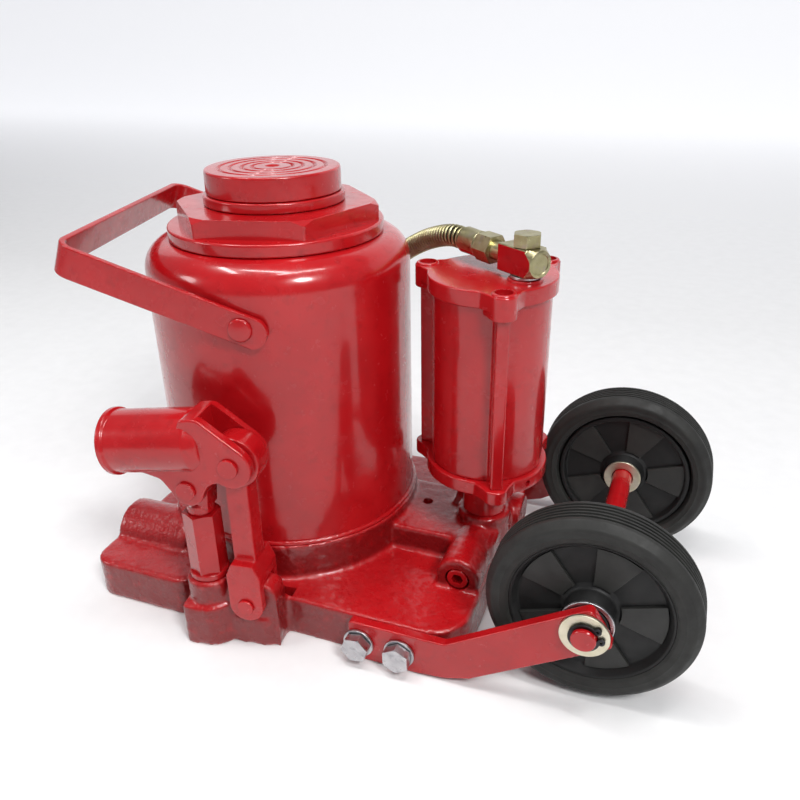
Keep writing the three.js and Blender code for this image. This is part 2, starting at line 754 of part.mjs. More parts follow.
const bossTop = RAISED_BLOCK.top + MOTOR_BOSS.height;
const lobeAngles = [0, 120, 240].map((angle) => THREE.MathUtils.degToRad(angle));
const aroundLobes = (make) => lobeAngles.map((angle) => make().rotateZ(angle));
const tieHole = (low, high) => () => disc(TIE_BOLT_RADIUS + GAP, low, high, 12).translate(LOBE.circle, 0, 0);

function capBlank(low, high, lobeLow) {
  const lobes = aroundLobes(() => {
    const round = disc(LOBE.radius, lobeLow, high, 16).translate(LOBE.circle, 0, 0);
    const web = slab(
      outline([
        [20, -13],
        [CAP_RADIUS - 2, -12.5],
        [LOBE.circle - 1, -LOBE.radius],
        [LOBE.circle - 1, LOBE.radius],
        [CAP_RADIUS - 2, 12.5],
        [20, 13],
      ]),
      lobeLow,
      high,
    );
    return joined(round, web);
  });
  return joined(disc(CAP_RADIUS, low, high, 36), ...lobes);
}

const neckGeometry = cut(
  joined(
    disc(NECK_RADIUS, bossTop + GAP, BOTTOM_CAP.low - GAP, 32),
    disc(NECK_RADIUS - 5 - GAP, bossTop - 12, bossTop + 2, 18),
    disc(NECK_RADIUS - 5, BOTTOM_CAP.low - 2, BOTTOM_CAP.top - 1, 18),
  ),
  disc(AIR_ROD_RADIUS + RUN, bossTop - 20, BOTTOM_CAP.top + 1, 18),
);
node("motor_neck", neckGeometry, RED, airMotor);

const ventAngle = THREE.MathUtils.degToRad(-33) - MOTOR.turn;
const vent = alongX(disc(2, CAP_RADIUS - 8, CAP_RADIUS + 2, 12)).rotateZ(ventAngle);
const bottomCap = cut(
  capBlank(BOTTOM_CAP.low, BOTTOM_CAP.top, BOTTOM_CAP.low),
  disc(NECK_RADIUS - 5 + GAP, BOTTOM_CAP.low - 1, BOTTOM_CAP.top + 1, 18),
  vent.translate(0, 0, (BOTTOM_CAP.low + BOTTOM_CAP.top) / 2),
  ...aroundLobes(tieHole(BOTTOM_CAP.low + 1.5, BOTTOM_CAP.top + 1)),
);
node("motor_bottom_cap", bottomCap, RED, airMotor);

function motorBarrel() {
  const low = BOTTOM_CAP.top + GAP;
  const high = TOP_CAP.low - GAP;
  const ribHigh = TOP_CAP.lobeLow - GAP;
  const ribs = aroundLobes(() =>
    box(BARREL_RADIUS - 1.5, LOBE.circle + 3.6, -RIB_WIDTH / 2, RIB_WIDTH / 2, low, ribHigh),
  );
  return cut(
    joined(disc(BARREL_RADIUS, low, high, 36), ...ribs),
    disc(BARREL_RADIUS - BARREL_WALL, low - 1, high + 1, 36),
    ...aroundLobes(tieHole(low - 1, high + 1)),
  );
}

node("motor_barrel", motorBarrel(), RED, airMotor);

const headSeat = TOP_CAP.top - 6;
const inletAt = new THREE.Vector2(BANJO.x, BANJO.y).rotateAround(new THREE.Vector2(), -MOTOR.turn);
const inletSeat = disc(INLET_SEAT.radius, TOP_CAP.top - 2, TOP_CAP.top + INLET_SEAT.height, 18);
const topCap = cut(
  joined(
    capBlank(TOP_CAP.low, TOP_CAP.top, TOP_CAP.lobeLow),
    inletSeat.translate(inletAt.x, inletAt.y, 0),
  ),
  disc(BARREL_RADIUS - BARREL_WALL, TOP_CAP.lobeLow - 1, TOP_CAP.low + 3, 32),
  ring(BARREL_RADIUS - BARREL_WALL - 1, BARREL_RADIUS + GAP, TOP_CAP.lobeLow - 1, TOP_CAP.low, 36),
  disc(5 + GAP, TOP_CAP.low, TOP_CAP.top + 5, 16).translate(inletAt.x, inletAt.y, 0),
  ...aroundLobes(tieHole(TOP_CAP.lobeLow - 1, TOP_CAP.top + 1)),
  ...aroundLobes(() => disc(5 + GAP, headSeat, TOP_CAP.top + 1, 16).translate(LOBE.circle, 0, 0)),
);
node("motor_top_cap", topCap, RED, airMotor);

lobeAngles.forEach((angle, i) => {
  const length = TOP_CAP.top - BOTTOM_CAP.low - 2.5;
  const bolt = socketScrew(5, 5.4, TIE_BOLT_RADIUS, length, 2.6);
  bolt.rotateX(Math.PI).translate(LOBE.circle, 0, TOP_CAP.top - 0.3);
  node("tie_bolt_" + (i + 1), bolt.rotateZ(angle), RED, airMotor);
});

const airPiston = turned(
  [
    [0, AIR_ROD_BOTTOM],
    [AIR_ROD_RADIUS, AIR_ROD_BOTTOM],
    [AIR_ROD_RADIUS, AIR_PISTON.top - AIR_PISTON.thickness],
    [BARREL_RADIUS - BARREL_WALL - RUN, AIR_PISTON.top - AIR_PISTON.thickness],
    [BARREL_RADIUS - BARREL_WALL - RUN, AIR_PISTON.top],
    [0, AIR_PISTON.top],
  ],
  32,
);
node("air_piston", airPiston, STEEL, airMotor);

// A tube with a round section along a curve.
function tube(curve, radius, steps, sides, hollow = 0) {
  const section = new THREE.Shape().absarc(0, 0, radius, 0, Math.PI * 2);
  const bore = new THREE.Path().absarc(0, 0, hollow, 0, Math.PI * 2, true);
  if (hollow > 0) section.holes.push(bore);
  return new THREE.ExtrudeGeometry(section, {
    steps,
    curveSegments: sides / 2, // a full circle gets twice as many
    extrudePath: curve,
  });
}

class Helix extends THREE.Curve {
  constructor(radius, low, high, turns) {
    super();
    Object.assign(this, { radius, low, high, turns });
  }

  getPoint(t, target = new THREE.Vector3()) {
    const angle = t * this.turns * Math.PI * 2;
    const z = this.low + (this.high - this.low) * t;
    return target.set(this.radius * Math.cos(angle), this.radius * Math.sin(angle), z);
  }
}

const springLow = BOTTOM_CAP.top + SPRING.wire + GAP;
const springHigh = AIR_PISTON.top - AIR_PISTON.thickness - SPRING.wire - GAP;
const springLine = new Helix(SPRING.coil, springLow, springHigh, SPRING.turns);
node("air_return_spring", tube(springLine, SPRING.wire, SPRING.turns * 10, 6), STEEL, airMotor);

// ---------------------------------------------------------------- air inlet
const inlet = new THREE.Group();
inlet.position.set(MOTOR.x + BANJO.x, MOTOR.y + BANJO.y, 0);
inlet.rotation.z = ELBOW.turn;
jack.add(inlet);

const seatTop = TOP_CAP.top + INLET_SEAT.height;
const washerLow = seatTop + GAP;
const elbowLow = washerLow + BANJO_WASHER.thickness + GAP;
const elbowTop = elbowLow + ELBOW.width;
const elbowMid = (elbowLow + elbowTop) / 2;
node("banjo_washer", ring(5 + GAP, BANJO_WASHER.radius, washerLow, washerLow + BANJO_WASHER.thickness, 18), ZINC, inlet);

function elbowBlock() {
  const half = ELBOW.width / 2;
  const bar = box(-ELBOW.behind, ELBOW.ahead, -half, half, elbowLow, elbowTop);
  const nose = alongX(
    turned(
      [
        [0, -60],
        [60, -60],
        [60, ELBOW.ahead - 5],
        [half * 1.3, ELBOW.ahead - 5],
        [half * 0.97, ELBOW.ahead],
        [0, ELBOW.ahead],
      ],
      20,
    ),
  );
  return cut(
    common(bar, nose.translate(0, 0, elbowMid)),
    disc(5 + GAP, elbowLow - 1, elbowTop + 1, 16),
    alongX(disc(4, -ELBOW.behind - 1, -4, 16)).translate(0, 0, elbowMid),
  );
}

node("elbow_block", elbowBlock(), YELLOW_ZINC, inlet);

const banjoBolt = joined(
  hexagon(8.8, elbowTop + GAP, elbowTop + GAP + 7.5, 0.3),
  disc(5, TOP_CAP.top - 6, elbowTop + 2, 16),
);
node("banjo_bolt", banjoBolt, YELLOW_ZINC, inlet);

// ---------------------------------------------------------------- hose, its end fitting and its guard
const hosePoints = HOSE_ROUTE.map(([x, y, z]) => new THREE.Vector3(x, y, z));
const FITTING = new THREE.Vector3(-32.747, 21.308, 1.35); // from the elbow's end to where the hose leaves its ferrule
const elbowEnd = new THREE.Vector3(-ELBOW.behind, 0, elbowMid);
elbowEnd.applyAxisAngle(new THREE.Vector3(0, 0, 1), ELBOW.turn);
elbowEnd.add(inlet.position);

// A turned piece whose axis runs from one point to another.
function between(start, end, profile, segments) {
  const axis = new THREE.Vector3().subVectors(end, start).normalize();
  const turn = new THREE.Quaternion().setFromUnitVectors(new THREE.Vector3(0, 0, 1), axis);
  return turned(profile, segments).applyQuaternion(turn).translate(start.x, start.y, start.z);
}

const fittingEnd = new THREE.Vector3().addVectors(elbowEnd, FITTING);
const fittingLength = FITTING.length() - GAP;
const nutEnd = fittingLength * 0.58;
const hoseNut = between(
  elbowEnd,
  fittingEnd,
  [
    [0, GAP + 0.6],
    [6, GAP + 0.6],
    [6, nutEnd - 12.5],
    [9.6, nutEnd - 12.5],
    [9.6, nutEnd],
    [0, nutEnd],
  ],
  6,
);
node("hose_nut", hoseNut, YELLOW_ZINC, jack);

const ferrule = between(
  elbowEnd,
  fittingEnd,
  [
    [0, nutEnd + GAP],
    [7.2, nutEnd + GAP],
    [8.2, nutEnd + GAP + 2],
    [8.2, fittingLength - 1.5],
    [7.6, fittingLength],
    [0, fittingLength],
  ],
  16,
);
node("hose_ferrule", ferrule, YELLOW_ZINC, jack);

const hoseLine = new THREE.CatmullRomCurve3(hosePoints);

function stretch(from, to, count) {
  const points = [];
  for (let i = 0; i <= count; i += 1) points.push(hoseLine.getPoint(from + ((to - from) * i) / count));
  return new THREE.CatmullRomCurve3(points);
}

const guardEnd = GUARD_POINTS / (hosePoints.length - 1);
const guardTube = tube(stretch(0, guardEnd, 16), GUARD_RADIUS, 20, HOSE_SIDES, GUARD_RADIUS - GUARD_WALL);
node("spring_guard", guardTube, YELLOW_ZINC, jack);
node("air_hose", tube(hoseLine, HOSE_RADIUS, 44, HOSE_SIDES), HOSE_RUBBER, jack);

// The rest of the hose lies wound up on the floor, in one ring with a short tail to the valve.
function woundHose() {
  const { radius, layers: count, tail } = COIL;
  const top = GAP + 2 * HOSE_RADIUS * count;
  const layers = ring(radius - HOSE_RADIUS, radius + HOSE_RADIUS, GAP, top, 32);
  const leaves = new THREE.Vector3(4, radius, top - HOSE_RADIUS);
  const arrives = new THREE.Vector3(-tail, radius, VALVE.inlet);
  const section = [
    [0, 0],
    [HOSE_RADIUS, 0],
    [HOSE_RADIUS, arrives.distanceTo(leaves)],
    [0, arrives.distanceTo(leaves)],
  ];
  const whole = joined(layers, between(leaves, arrives, section, HOSE_SIDES));
  whole.translate(COIL.x, COIL.y, 0);
  const end = hosePoints[hosePoints.length - 1];
  const before = hosePoints[hosePoints.length - 2];
  const past = end.clone().addScaledVector(new THREE.Vector3().subVectors(end, before).normalize(), 2);
  const room = new THREE.CatmullRomCurve3([...hosePoints.slice(-4), past]);
  return cut(whole, tube(room, HOSE_RADIUS + 1.5 * GAP, 24, HOSE_SIDES));
}

node("air_hose_coil", woundHose(), HOSE_RUBBER, jack);

// The squeeze valve on the hose's far end lies on the floor beside the coil. Its frame has its
// origin at the end of the hose, and the valve runs along -X.
const airValve = new THREE.Group();
airValve.position.set(COIL.x - COIL.tail - 4 * GAP, COIL.y + COIL.radius, 0);
jack.add(airValve);
const VALVE_PIVOT = { x: -14, z: VALVE.height + 5 };

function valveBody() {
  const { length, width, height, inlet } = VALVE;
  const side = outline([
    [-4, 6],
    [-10, GAP],
    [-length + 6, GAP],
    [-length, 6],
    [-length, height - 6],
    [-length + 8, height],
    [-10, height],
    [-4, height - 8],
  ]);
  const lug = joined(
    alongY(disc(5, -3, 3, 16)).translate(VALVE_PIVOT.x, 0, VALVE_PIVOT.z),
    box(VALVE_PIVOT.x - 5, VALVE_PIVOT.x + 5, -3, 3, height - 4, VALVE_PIVOT.z),
  );
  const body = joined(
    plate(side, -width / 2, width / 2),
    lug,
    alongX(disc(8, -8, 0, 16)).translate(0, 0, inlet),
    alongX(disc(6.5, -length - 14, -length + 4, 16)).translate(0, 0, inlet),
  );
  return cut(body, alongY(disc(2 + RUN, -20, 20, 12)).translate(VALVE_PIVOT.x, 0, VALVE_PIVOT.z));
}

node("air_valve_body", valveBody(), ZINC, airValve);

function valveLever() {
  const { x, z } = VALVE_PIVOT;
  const cheek = outline([
    ...arc(x, z, 4, -60, 60, 4),
    [x - 6, z + 7.5],
    [x - 48, z + 12],
    [x - 48, z + 8.5],
  ]);
  const inside = box(x - 60, x + 20, -3 - SIDE, 3 + SIDE, z - 20, z + 6);
  const cheeks = cut(plate(cheek, -7, 7), inside);
  return joined(cheeks, alongY(disc(2, -7, 7, 12)).translate(x, 0, z));
}

node("air_valve_lever", valveLever(), ZINC, airValve);

// ---------------------------------------------------------------- wheel arms, bolts and axle
function armOutline() {
  const drop = ARM_END_WIDTH / cosRise;
  const endX = AXLE.x + ARM_END * cosRise;
  const endZ = AXLE.z + ARM_END * sinRise;
  const half = ARM_END_WIDTH / 2;
  const top = [endX - half * sinRise, endZ + half * cosRise];
  const bottom = [endX + half * sinRise, endZ - half * cosRise];
  const bendX = top[0] - (top[1] - ARM_HEIGHT) / Math.tan(ARM_RISE);
  const footX = bottom[0] - bottom[1] / Math.tan(ARM_RISE);
  return outline([
    [ARM_FRONT, 0.6],
    [footX - drop * 0.75, 0.6],
    [footX - 4, 2.6],
    [footX + 12, 12 * Math.tan(ARM_RISE)],
    bottom,
    top,
    [bendX, ARM_HEIGHT],
    [ARM_FRONT, ARM_HEIGHT],
  ]);
}

const armInner = PLATE_HALF_WIDTH + GAP;
const armOuter = armInner + ARM_THICKNESS;
const hubLength = armInner - (WHEEL_OUTER - WHEEL_WIDTH) - 2 * GAP;

for (const [name, side] of [["near", -1], ["far", 1]]) {
  // Pieces on this side are made for the near side and turned about Z for the far one.
  const mirror = (geometry) => (side < 0 ? geometry : flipped(geometry));
  const arm = cut(
    plate(armOutline(), -armOuter, -armInner),
    alongY(disc(AXLE.radius + GAP, -200, 0, 18)).translate(AXLE.x, 0, AXLE.z),
    ...[0, 1].map((i) =>
      alongY(disc(ARM_BOLTS.radius + GAP, -200, 0, 16)).translate(
        ARM_BOLTS.first + i * ARM_BOLTS.spacing,
        0,
        ARM_BOLTS.height,
      ),
    ),
  );
  node("wheel_arm_" + name, mirror(arm), RED, jack);

  for (const i of [0, 1]) {
    const x = ARM_BOLTS.first + i * ARM_BOLTS.spacing;
    const washerOut = -armOuter - GAP - BOLT_WASHER.thickness;
    const washer = alongY(
      ring(ARM_BOLTS.radius + GAP, BOLT_WASHER.radius, washerOut, washerOut + BOLT_WASHER.thickness, 18),
    );
    node("arm_washer_" + name + "_" + (i + 1), mirror(washer.translate(x, 0, ARM_BOLTS.height)), ZINC, jack);
    const headBack = washerOut - GAP;
    const bolt = joined(
      alongY(hexagon(BOLT_HEAD.corner, headBack - BOLT_HEAD.height, headBack, 0.2)),
      alongY(disc(ARM_BOLTS.radius, headBack - 1, -PLATE_HALF_WIDTH + 16, 16)),
    );
    node("arm_bolt_" + name + "_" + (i + 1), mirror(bolt.translate(x, 0, ARM_BOLTS.height)), ZINC, jack);
  }

  const washerOut = -armOuter - GAP - AXLE_WASHER.thickness;
  const axleWasher = alongY(
    ring(AXLE.radius + GAP, AXLE_WASHER.radius, washerOut, washerOut + AXLE_WASHER.thickness, 20),
  );
  node("axle_washer_" + name, mirror(axleWasher.translate(AXLE.x, 0, AXLE.z)), YELLOW_ZINC, jack);

  const clipOut = washerOut - GAP - AXLE_CLIP.thickness;
  const clip = cut(
    ring(AXLE.radius - 0.6, AXLE_CLIP.radius, clipOut, clipOut + AXLE_CLIP.thickness, 18),
    box(-2, 2, 0, 20, clipOut - 1, clipOut + 5),
  );
  node("axle_clip_" + name, mirror(alongY(clip).translate(AXLE.x, 0, AXLE.z)), BLACK_STEEL, jack);

  const innerFace = -WHEEL_OUTER + WHEEL_WIDTH;
  const tyre = turned(
    [
      [TYRE_INNER, -WHEEL_OUTER + 5],
      [TYRE_INNER + 2, -WHEEL_OUTER + 1],
      [WHEEL_RADIUS - 5, -WHEEL_OUTER],
      [WHEEL_RADIUS, -WHEEL_OUTER + 5],
      [WHEEL_RADIUS, innerFace - 5],
      [WHEEL_RADIUS - 5, innerFace],
      [TYRE_INNER + 2, innerFace - 1],
      [TYRE_INNER, innerFace - 5],
    ],
    36,
  );
  node("tyre_" + name, mirror(alongY(tyre).translate(AXLE.x, 0, AXLE.z)), RUBBER, jack);

  const rim = TYRE_INNER - GAP;
  const bore = AXLE.radius + RUN;
  const discOut = -WHEEL_OUTER + 8;
  const discIn = innerFace - 8;
  const hubOut = -armInner + 2 * GAP;
  const hub = turned(
    [
      [bore, hubOut],
      [HUB_RADIUS - 3, hubOut],
      [HUB_RADIUS, discOut],
      [rim - 4, discOut],
      [rim, discOut - 2],
      [rim, discIn + 2],
      [rim - 4, discIn],
      [HUB_RADIUS, discIn],
      [HUB_RADIUS - 3, hubOut + hubLength],
      [bore, hubOut + hubLength],
    ],
    32,
  );
  node("hub_" + name, mirror(alongY(hub).translate(AXLE.x, 0, AXLE.z)), BLACK_PLASTIC, jack);

  const innerWasher = alongY(
    ring(AXLE.radius + RUN, AXLE_WASHER.radius, hubOut + hubLength + GAP, hubOut + hubLength + GAP + 2, 20),
  );
  node("inner_washer_" + name, mirror(innerWasher.translate(AXLE.x, 0, AXLE.z)), YELLOW_ZINC, jack);
}

// The mirror image of a piece in the jack's mid plane, with its faces kept outward.
function flipped(geometry) {
  const loose = geometry.index ? geometry.toNonIndexed() : geometry.clone();
  const places = loose.getAttribute("position");
  for (let i = 0; i < places.count; i += 3) {
    const [a, b, c] = [0, 1, 2].map((k) => new THREE.Vector3().fromBufferAttribute(places, i + k));
    places.setXYZ(i, a.x, -a.y, a.z);
    places.setXYZ(i + 1, c.x, -c.y, c.z);
    places.setXYZ(i + 2, b.x, -b.y, b.z);
  }
  return loose;
}

const axleEnd = armOuter + AXLE_WASHER.thickness + AXLE_CLIP.thickness + 3 * GAP + 2.5;
const clipGroove = armOuter + AXLE_WASHER.thickness + 2 * GAP;
const half = [
  [AXLE.radius, 0],
  [AXLE.radius, clipGroove - GAP / 2],
  [AXLE.radius - 1.2, clipGroove - GAP / 2],
  [AXLE.radius - 1.2, clipGroove + AXLE_CLIP.thickness + GAP],
  [AXLE.radius, clipGroove + AXLE_CLIP.thickness + GAP],
  [AXLE.radius, axleEnd - 0.8],
  [AXLE.radius - 0.8, axleEnd],
];
const axleProfile = [
  [0, -axleEnd],
  ...half.slice(1).map(([r, y]) => [r, -y]).reverse(),
  ...half.slice(1),
  [0, axleEnd],
];
node("axle", alongY(turned(axleProfile, 18)).translate(AXLE.x, 0, AXLE.z), RED, jack);

export default jack;
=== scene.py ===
import bmesh
import bpy
from math import atan2, ceil, cos, floor, pi, radians, sin, tan
from mathutils import Matrix, Vector, noise


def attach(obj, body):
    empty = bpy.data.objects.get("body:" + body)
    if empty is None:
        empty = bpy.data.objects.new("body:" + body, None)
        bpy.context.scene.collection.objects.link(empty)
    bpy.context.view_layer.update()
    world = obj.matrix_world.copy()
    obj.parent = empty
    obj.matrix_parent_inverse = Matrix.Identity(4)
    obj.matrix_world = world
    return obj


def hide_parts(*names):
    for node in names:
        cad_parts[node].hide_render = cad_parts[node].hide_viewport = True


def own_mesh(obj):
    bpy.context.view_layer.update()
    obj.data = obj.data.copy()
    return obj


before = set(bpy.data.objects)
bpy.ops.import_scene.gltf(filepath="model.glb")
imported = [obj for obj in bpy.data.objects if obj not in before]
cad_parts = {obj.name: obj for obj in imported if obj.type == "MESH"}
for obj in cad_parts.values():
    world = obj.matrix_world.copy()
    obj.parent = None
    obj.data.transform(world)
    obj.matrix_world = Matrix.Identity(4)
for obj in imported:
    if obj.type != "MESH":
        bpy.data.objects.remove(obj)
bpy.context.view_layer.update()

MM = 0.001


# ---- camera
def aim_camera():
    yaw, pitch, roll = -0.373, 0.454, -0.018
    ahead = Vector((sin(yaw) * cos(pitch), cos(yaw) * cos(pitch), -sin(pitch)))
    right = ahead.cross(Vector((0, 0, 1))).normalized()
    up = right.cross(ahead)
    level, top = cos(roll) * right + sin(roll) * up, -sin(roll) * right + cos(roll) * up
    data = bpy.data.cameras.new("camera")
    data.lens, data.sensor_width = 35.16, 36
    camera = bpy.data.objects.new("camera", data)
    turn = Matrix((level, top, -ahead)).transposed().to_4x4()
    camera.matrix_world = Matrix.Translation((0.2599, -0.4487, 0.3676)) @ turn
    bpy.context.scene.collection.objects.link(camera)
    bpy.context.scene.camera = camera


aim_camera()


# ---- shapes, in millimetres
# A shape is a pair: its points, and its faces as tuples of point numbers.
def arc(x, y, r, start, end, steps=12):
    turns = [radians(start + (end - start) * i / steps) for i in range(steps + 1)]
    return [(x + r * cos(t), y + r * sin(t)) for t in turns]


def eased(points, radius=0.0, closed=True, steps=4):
    """An outline with its corners rounded. A point's third value is its own radius."""
    result = []
    last = len(points) - 1
    for i, p in enumerate(points):
        r = p[2] if len(p) > 2 else radius
        here = Vector(p[:2])
        a = Vector(points[i - 1][:2]) - here
        b = Vector(points[(i + 1) % len(points)][:2]) - here
        ends = not closed and i in (0, last)
        if ends or r <= 0 or a.length < 1e-6 or b.length < 1e-6 or a.angle(b) > radians(170):
            result.append((here.x, here.y))
            continue
        half = a.angle(b) / 2
        reach = min(r / tan(half), a.length * 0.48, b.length * 0.48)
        r = reach * tan(half)
        a.normalize()
        b.normalize()
        middle = here + (a + b).normalized() * (r / sin(half))
        first, final = here + a * reach - middle, here + b * reach - middle
        start = atan2(first.y, first.x)
        sweep = (atan2(final.y, final.x) - start + pi) % (2 * pi) - pi
        for k in range(steps + 1):
            t = start + sweep * k / steps
            result.append((middle.x + r * cos(t), middle.y + r * sin(t)))
    return result


def turned(profile, ease=0.0, segments=96):
    """A profile of (radius, height) turned about Z: it starts and ends on the axis, or closes on itself."""
    closed = profile[0][0] > 0
    line = eased(profile, ease, closed)
    points, faces, rows = [], [], []
    for r, z in line:
        if r < 1e-6:
            rows.append([len(points)] * segments)
            points.append((0, 0, z))
        else:
            rows.append(list(range(len(points), len(points) + segments)))
            turns = [2 * pi * k / segments for k in range(segments)]
            points += [(r * cos(t), r * sin(t), z) for t in turns]
    pairs = list(zip(rows, rows[1:] + rows[:1])) if closed else list(zip(rows, rows[1:]))
    for low, high in pairs:
        for k in range(segments):
            n = (k + 1) % segments
            face = []
            for v in (low[k], low[n], high[n], high[k]):
                if v not in face:
                    face.append(v)
            if len(face) > 2:
                faces.append(tuple(face))
    return points, faces


def ring(inner, outer, low, high, ease=0.3, segments=64):
    return turned([(inner, low), (outer, low), (outer, high), (inner, high)], ease, segments)


def disc(radius, low, high, ease=0.0, segments=64):
    return turned([(0, low), (radius, low), (radius, high), (0, high)], ease, segments)


def drawn_in(outline, amount):
    """An outline moved inward by an amount."""
    area = sum(a[0] * b[1] - b[0] * a[1] for a, b in zip(outline, outline[1:] + outline[:1]))
    side = 1 if area > 0 else -1
    result = []
    for i, p in enumerate(outline):
        a = Vector(p) - Vector(outline[i - 1])
        b = Vector(outline[(i + 1) % len(outline)]) - Vector(p)
        na, nb = Vector((-a.y, a.x)).normalized(), Vector((-b.y, b.x)).normalized()
        n = (na + nb).normalized() if (na + nb).length > 1e-6 else na
        reach = min(2.0, 1 / max(0.3, n.dot(na)))
        result.append((p[0] + side * n.x * amount * reach, p[1] + side * n.y * amount * reach))
    return result


def slab(outline, low, high, edge=0.8, steps=3):
    """An outline with a thickness along Z and rounded edges."""
    clean = [p for i, p in enumerate(outline) if (Vector(p) - Vector(outline[i - 1])).length > 1e-4]
    turns = [pi / 2 * i / steps for i in range(steps + 1)] if edge > 0 else []
    levels = [(edge * (1 - sin(t)), low + edge * (1 - cos(t))) for t in turns]
    levels += [(edge * (1 - sin(t)), high - edge * (1 - cos(t))) for t in reversed(turns)]
    levels = levels or [(0, low), (0, high)]
    points, faces = [], []
    for inset, z in levels:
        points += [(x, y, z) for x, y in drawn_in(clean, inset)]
    n = len(clean)
    for k in range(len(levels) - 1):
        faces += [
            (k * n + i, k * n + (i + 1) % n, (k + 1) * n + (i + 1) % n, (k + 1) * n + i) for i in range(n)
        ]
    faces += [tuple(reversed(range(n))), tuple(range((len(levels) - 1) * n, len(levels) * n))]
    return points, faces


def moved(shape, matrix):
    return [tuple(matrix @ Vector(p)) for p in shape[0]], shape[1]


def shifted(shape, x=0.0, y=0.0, z=0.0):
    return moved(shape, Matrix.Translation((x, y, z)))


def spun(shape, degrees, axis="Z"):
    return moved(shape, Matrix.Rotation(radians(degrees), 4, axis))


TO_X = Matrix(((0, 0, 1, 0), (1, 0, 0, 0), (0, 1, 0, 0), (0, 0, 0, 1)))
TO_Y = Matrix(((1, 0, 0, 0), (0, 0, 1, 0), (0, -1, 0, 0), (0, 0, 0, 1)))
UPRIGHT = Matrix(((1, 0, 0, 0), (0, 0, 1, 0), (0, 1, 0, 0), (0, 0, 0, 1)))


def along_x(shape):
    return moved(shape, TO_X)


def along_y(shape):
    return moved(shape, TO_Y)


def plate(outline, front, back, edge=0.8):
    """An outline in X and Z with a thickness along Y."""
    return moved(slab(outline, front, back, edge), UPRIGHT)


def block(x0, x1, y0, y1, z0, z1, edge=0.0):
    return slab(eased([(x0, y0), (x1, y0), (x1, y1), (x0, y1)], edge), z0, z1, edge)


def together(*shapes):
    points, faces = [], []
    for more, sides in shapes:
        faces += [tuple(i + len(points) for i in f) for f in sides]
        points += more
    return points, faces


def mirrored(shape):
    return [(x, -y, z) for x, y, z in shape[0]], shape[1]


def mesh_of(name, shape, scale=1.0):
    build = bmesh.new()
    corners = [build.verts.new(Vector(p) * scale) for p in shape[0]]
    for f in shape[1]:
        build.faces.new([corners[i] for i in f])
    bmesh.ops.remove_doubles(build, verts=build.verts, dist=2e-3 * scale)
    bmesh.ops.recalc_face_normals(build, faces=build.faces)
    mesh = bpy.data.meshes.new(name)
    build.to_mesh(mesh)
    build.free()
    return mesh


def scratch(shape):
    item = bpy.data.objects.new("scratch", mesh_of("scratch", shape))
    bpy.context.scene.collection.objects.link(item)
    return item


def shape_of(item):
    """The shape an object has after its modifiers. The object is then removed."""
    mesh = bpy.data.meshes.new_from_object(item.evaluated_get(bpy.context.evaluated_depsgraph_get()))
    result = [tuple(v.co) for v in mesh.vertices], [tuple(p.vertices) for p in mesh.polygons]
    bpy.data.objects.remove(item)
    return result


def combined(first, second, how):
    a, b = scratch(first), scratch(second)
    step = a.modifiers.new("combine", "BOOLEAN")
    step.object, step.operation, step.solver = b, how, "MANIFOLD"
    result = shape_of(a)
    bpy.data.objects.remove(b)
    return result


def fused(first, *others):
    for other in others:
        first = combined(first, other, "UNION")
    return first


def carved(first, *tools):
    for tool in tools:
        first = combined(first, tool, "DIFFERENCE")
    return first


def common(first, second):
    return combined(first, second, "INTERSECT")


def cast(shape, voxel, passes, grain=0.0, grain_size=4.0):
    """Overlapping closed shapes run into one, with every edge and corner softened as a casting's are."""
    item = scratch(shape)
    skin = item.modifiers.new("skin", "REMESH")
    skin.mode, skin.voxel_size = "VOXEL", voxel
    soft = item.modifiers.new("soft", "SMOOTH")
    soft.factor, soft.iterations = 0.5, passes
    points, faces = shape_of(item)
    if grain:
        waves = [noise.noise_vector(Vector(p) / grain_size) for p in points]
        points = [tuple(Vector(p) + grain * Vector(wave)) for p, wave in zip(points, waves)]
    return points, faces


def hexagon(corner, turn=0.0):
    return [(corner * cos(radians(60 * k) + turn), corner * sin(radians(60 * k) + turn)) for k in range(6)]


def hex_head(corner, low, high, turn=0.0, both=False):
    """A hexagon with its corners turned off at the top, or at both ends."""
    flat = corner * 0.9
    drop = (corner - flat) * 0.62
    foot = [(0, low), (flat, low), (corner + 0.3, low + drop)] if both else [(0, low), (corner + 0.3, low)]
    limit = turned(foot + [(corner + 0.3, high - drop), (flat, high), (0, high)], 0.15)
    return common(slab(eased(hexagon(corner, turn), 0.5), low, high, 0.15), limit)


# ---- materials
def new_look(name):
    look = bpy.data.materials.new(name)
    look.use_nodes = True
    return look, look.node_tree, look.node_tree.nodes["Principled BSDF"]


def place(tree):
    return tree.nodes.new("ShaderNodeTexCoord").outputs["Object"]


def mottle(tree, size_mm, detail=3.0, stretch=None, rough=0.55):
    """Noise whose features have a size in millimetres."""
    node = tree.nodes.new("ShaderNodeTexNoise")
    node.inputs["Scale"].default_value = 1 / (size_mm * MM)
    node.inputs["Detail"].default_value = detail
    node.inputs["Roughness"].default_value = rough
    source = place(tree)
    if stretch:
        mapping = tree.nodes.new("ShaderNodeMapping")
        mapping.inputs["Scale"].default_value = stretch
        tree.links.new(source, mapping.inputs["Vector"])
        source = mapping.outputs["Vector"]
    tree.links.new(source, node.inputs["Vector"])
    return node.outputs["Fac"]


def spread(tree, value, low, high, start=0.3, end=0.7):
    node = tree.nodes.new("ShaderNodeMapRange")
    for name, number in (("From Min", start), ("From Max", end), ("To Min", low), ("To Max", high)):
        node.inputs[name].default_value = number
    tree.links.new(value, node.inputs["Value"])
    return node.outputs["Result"]


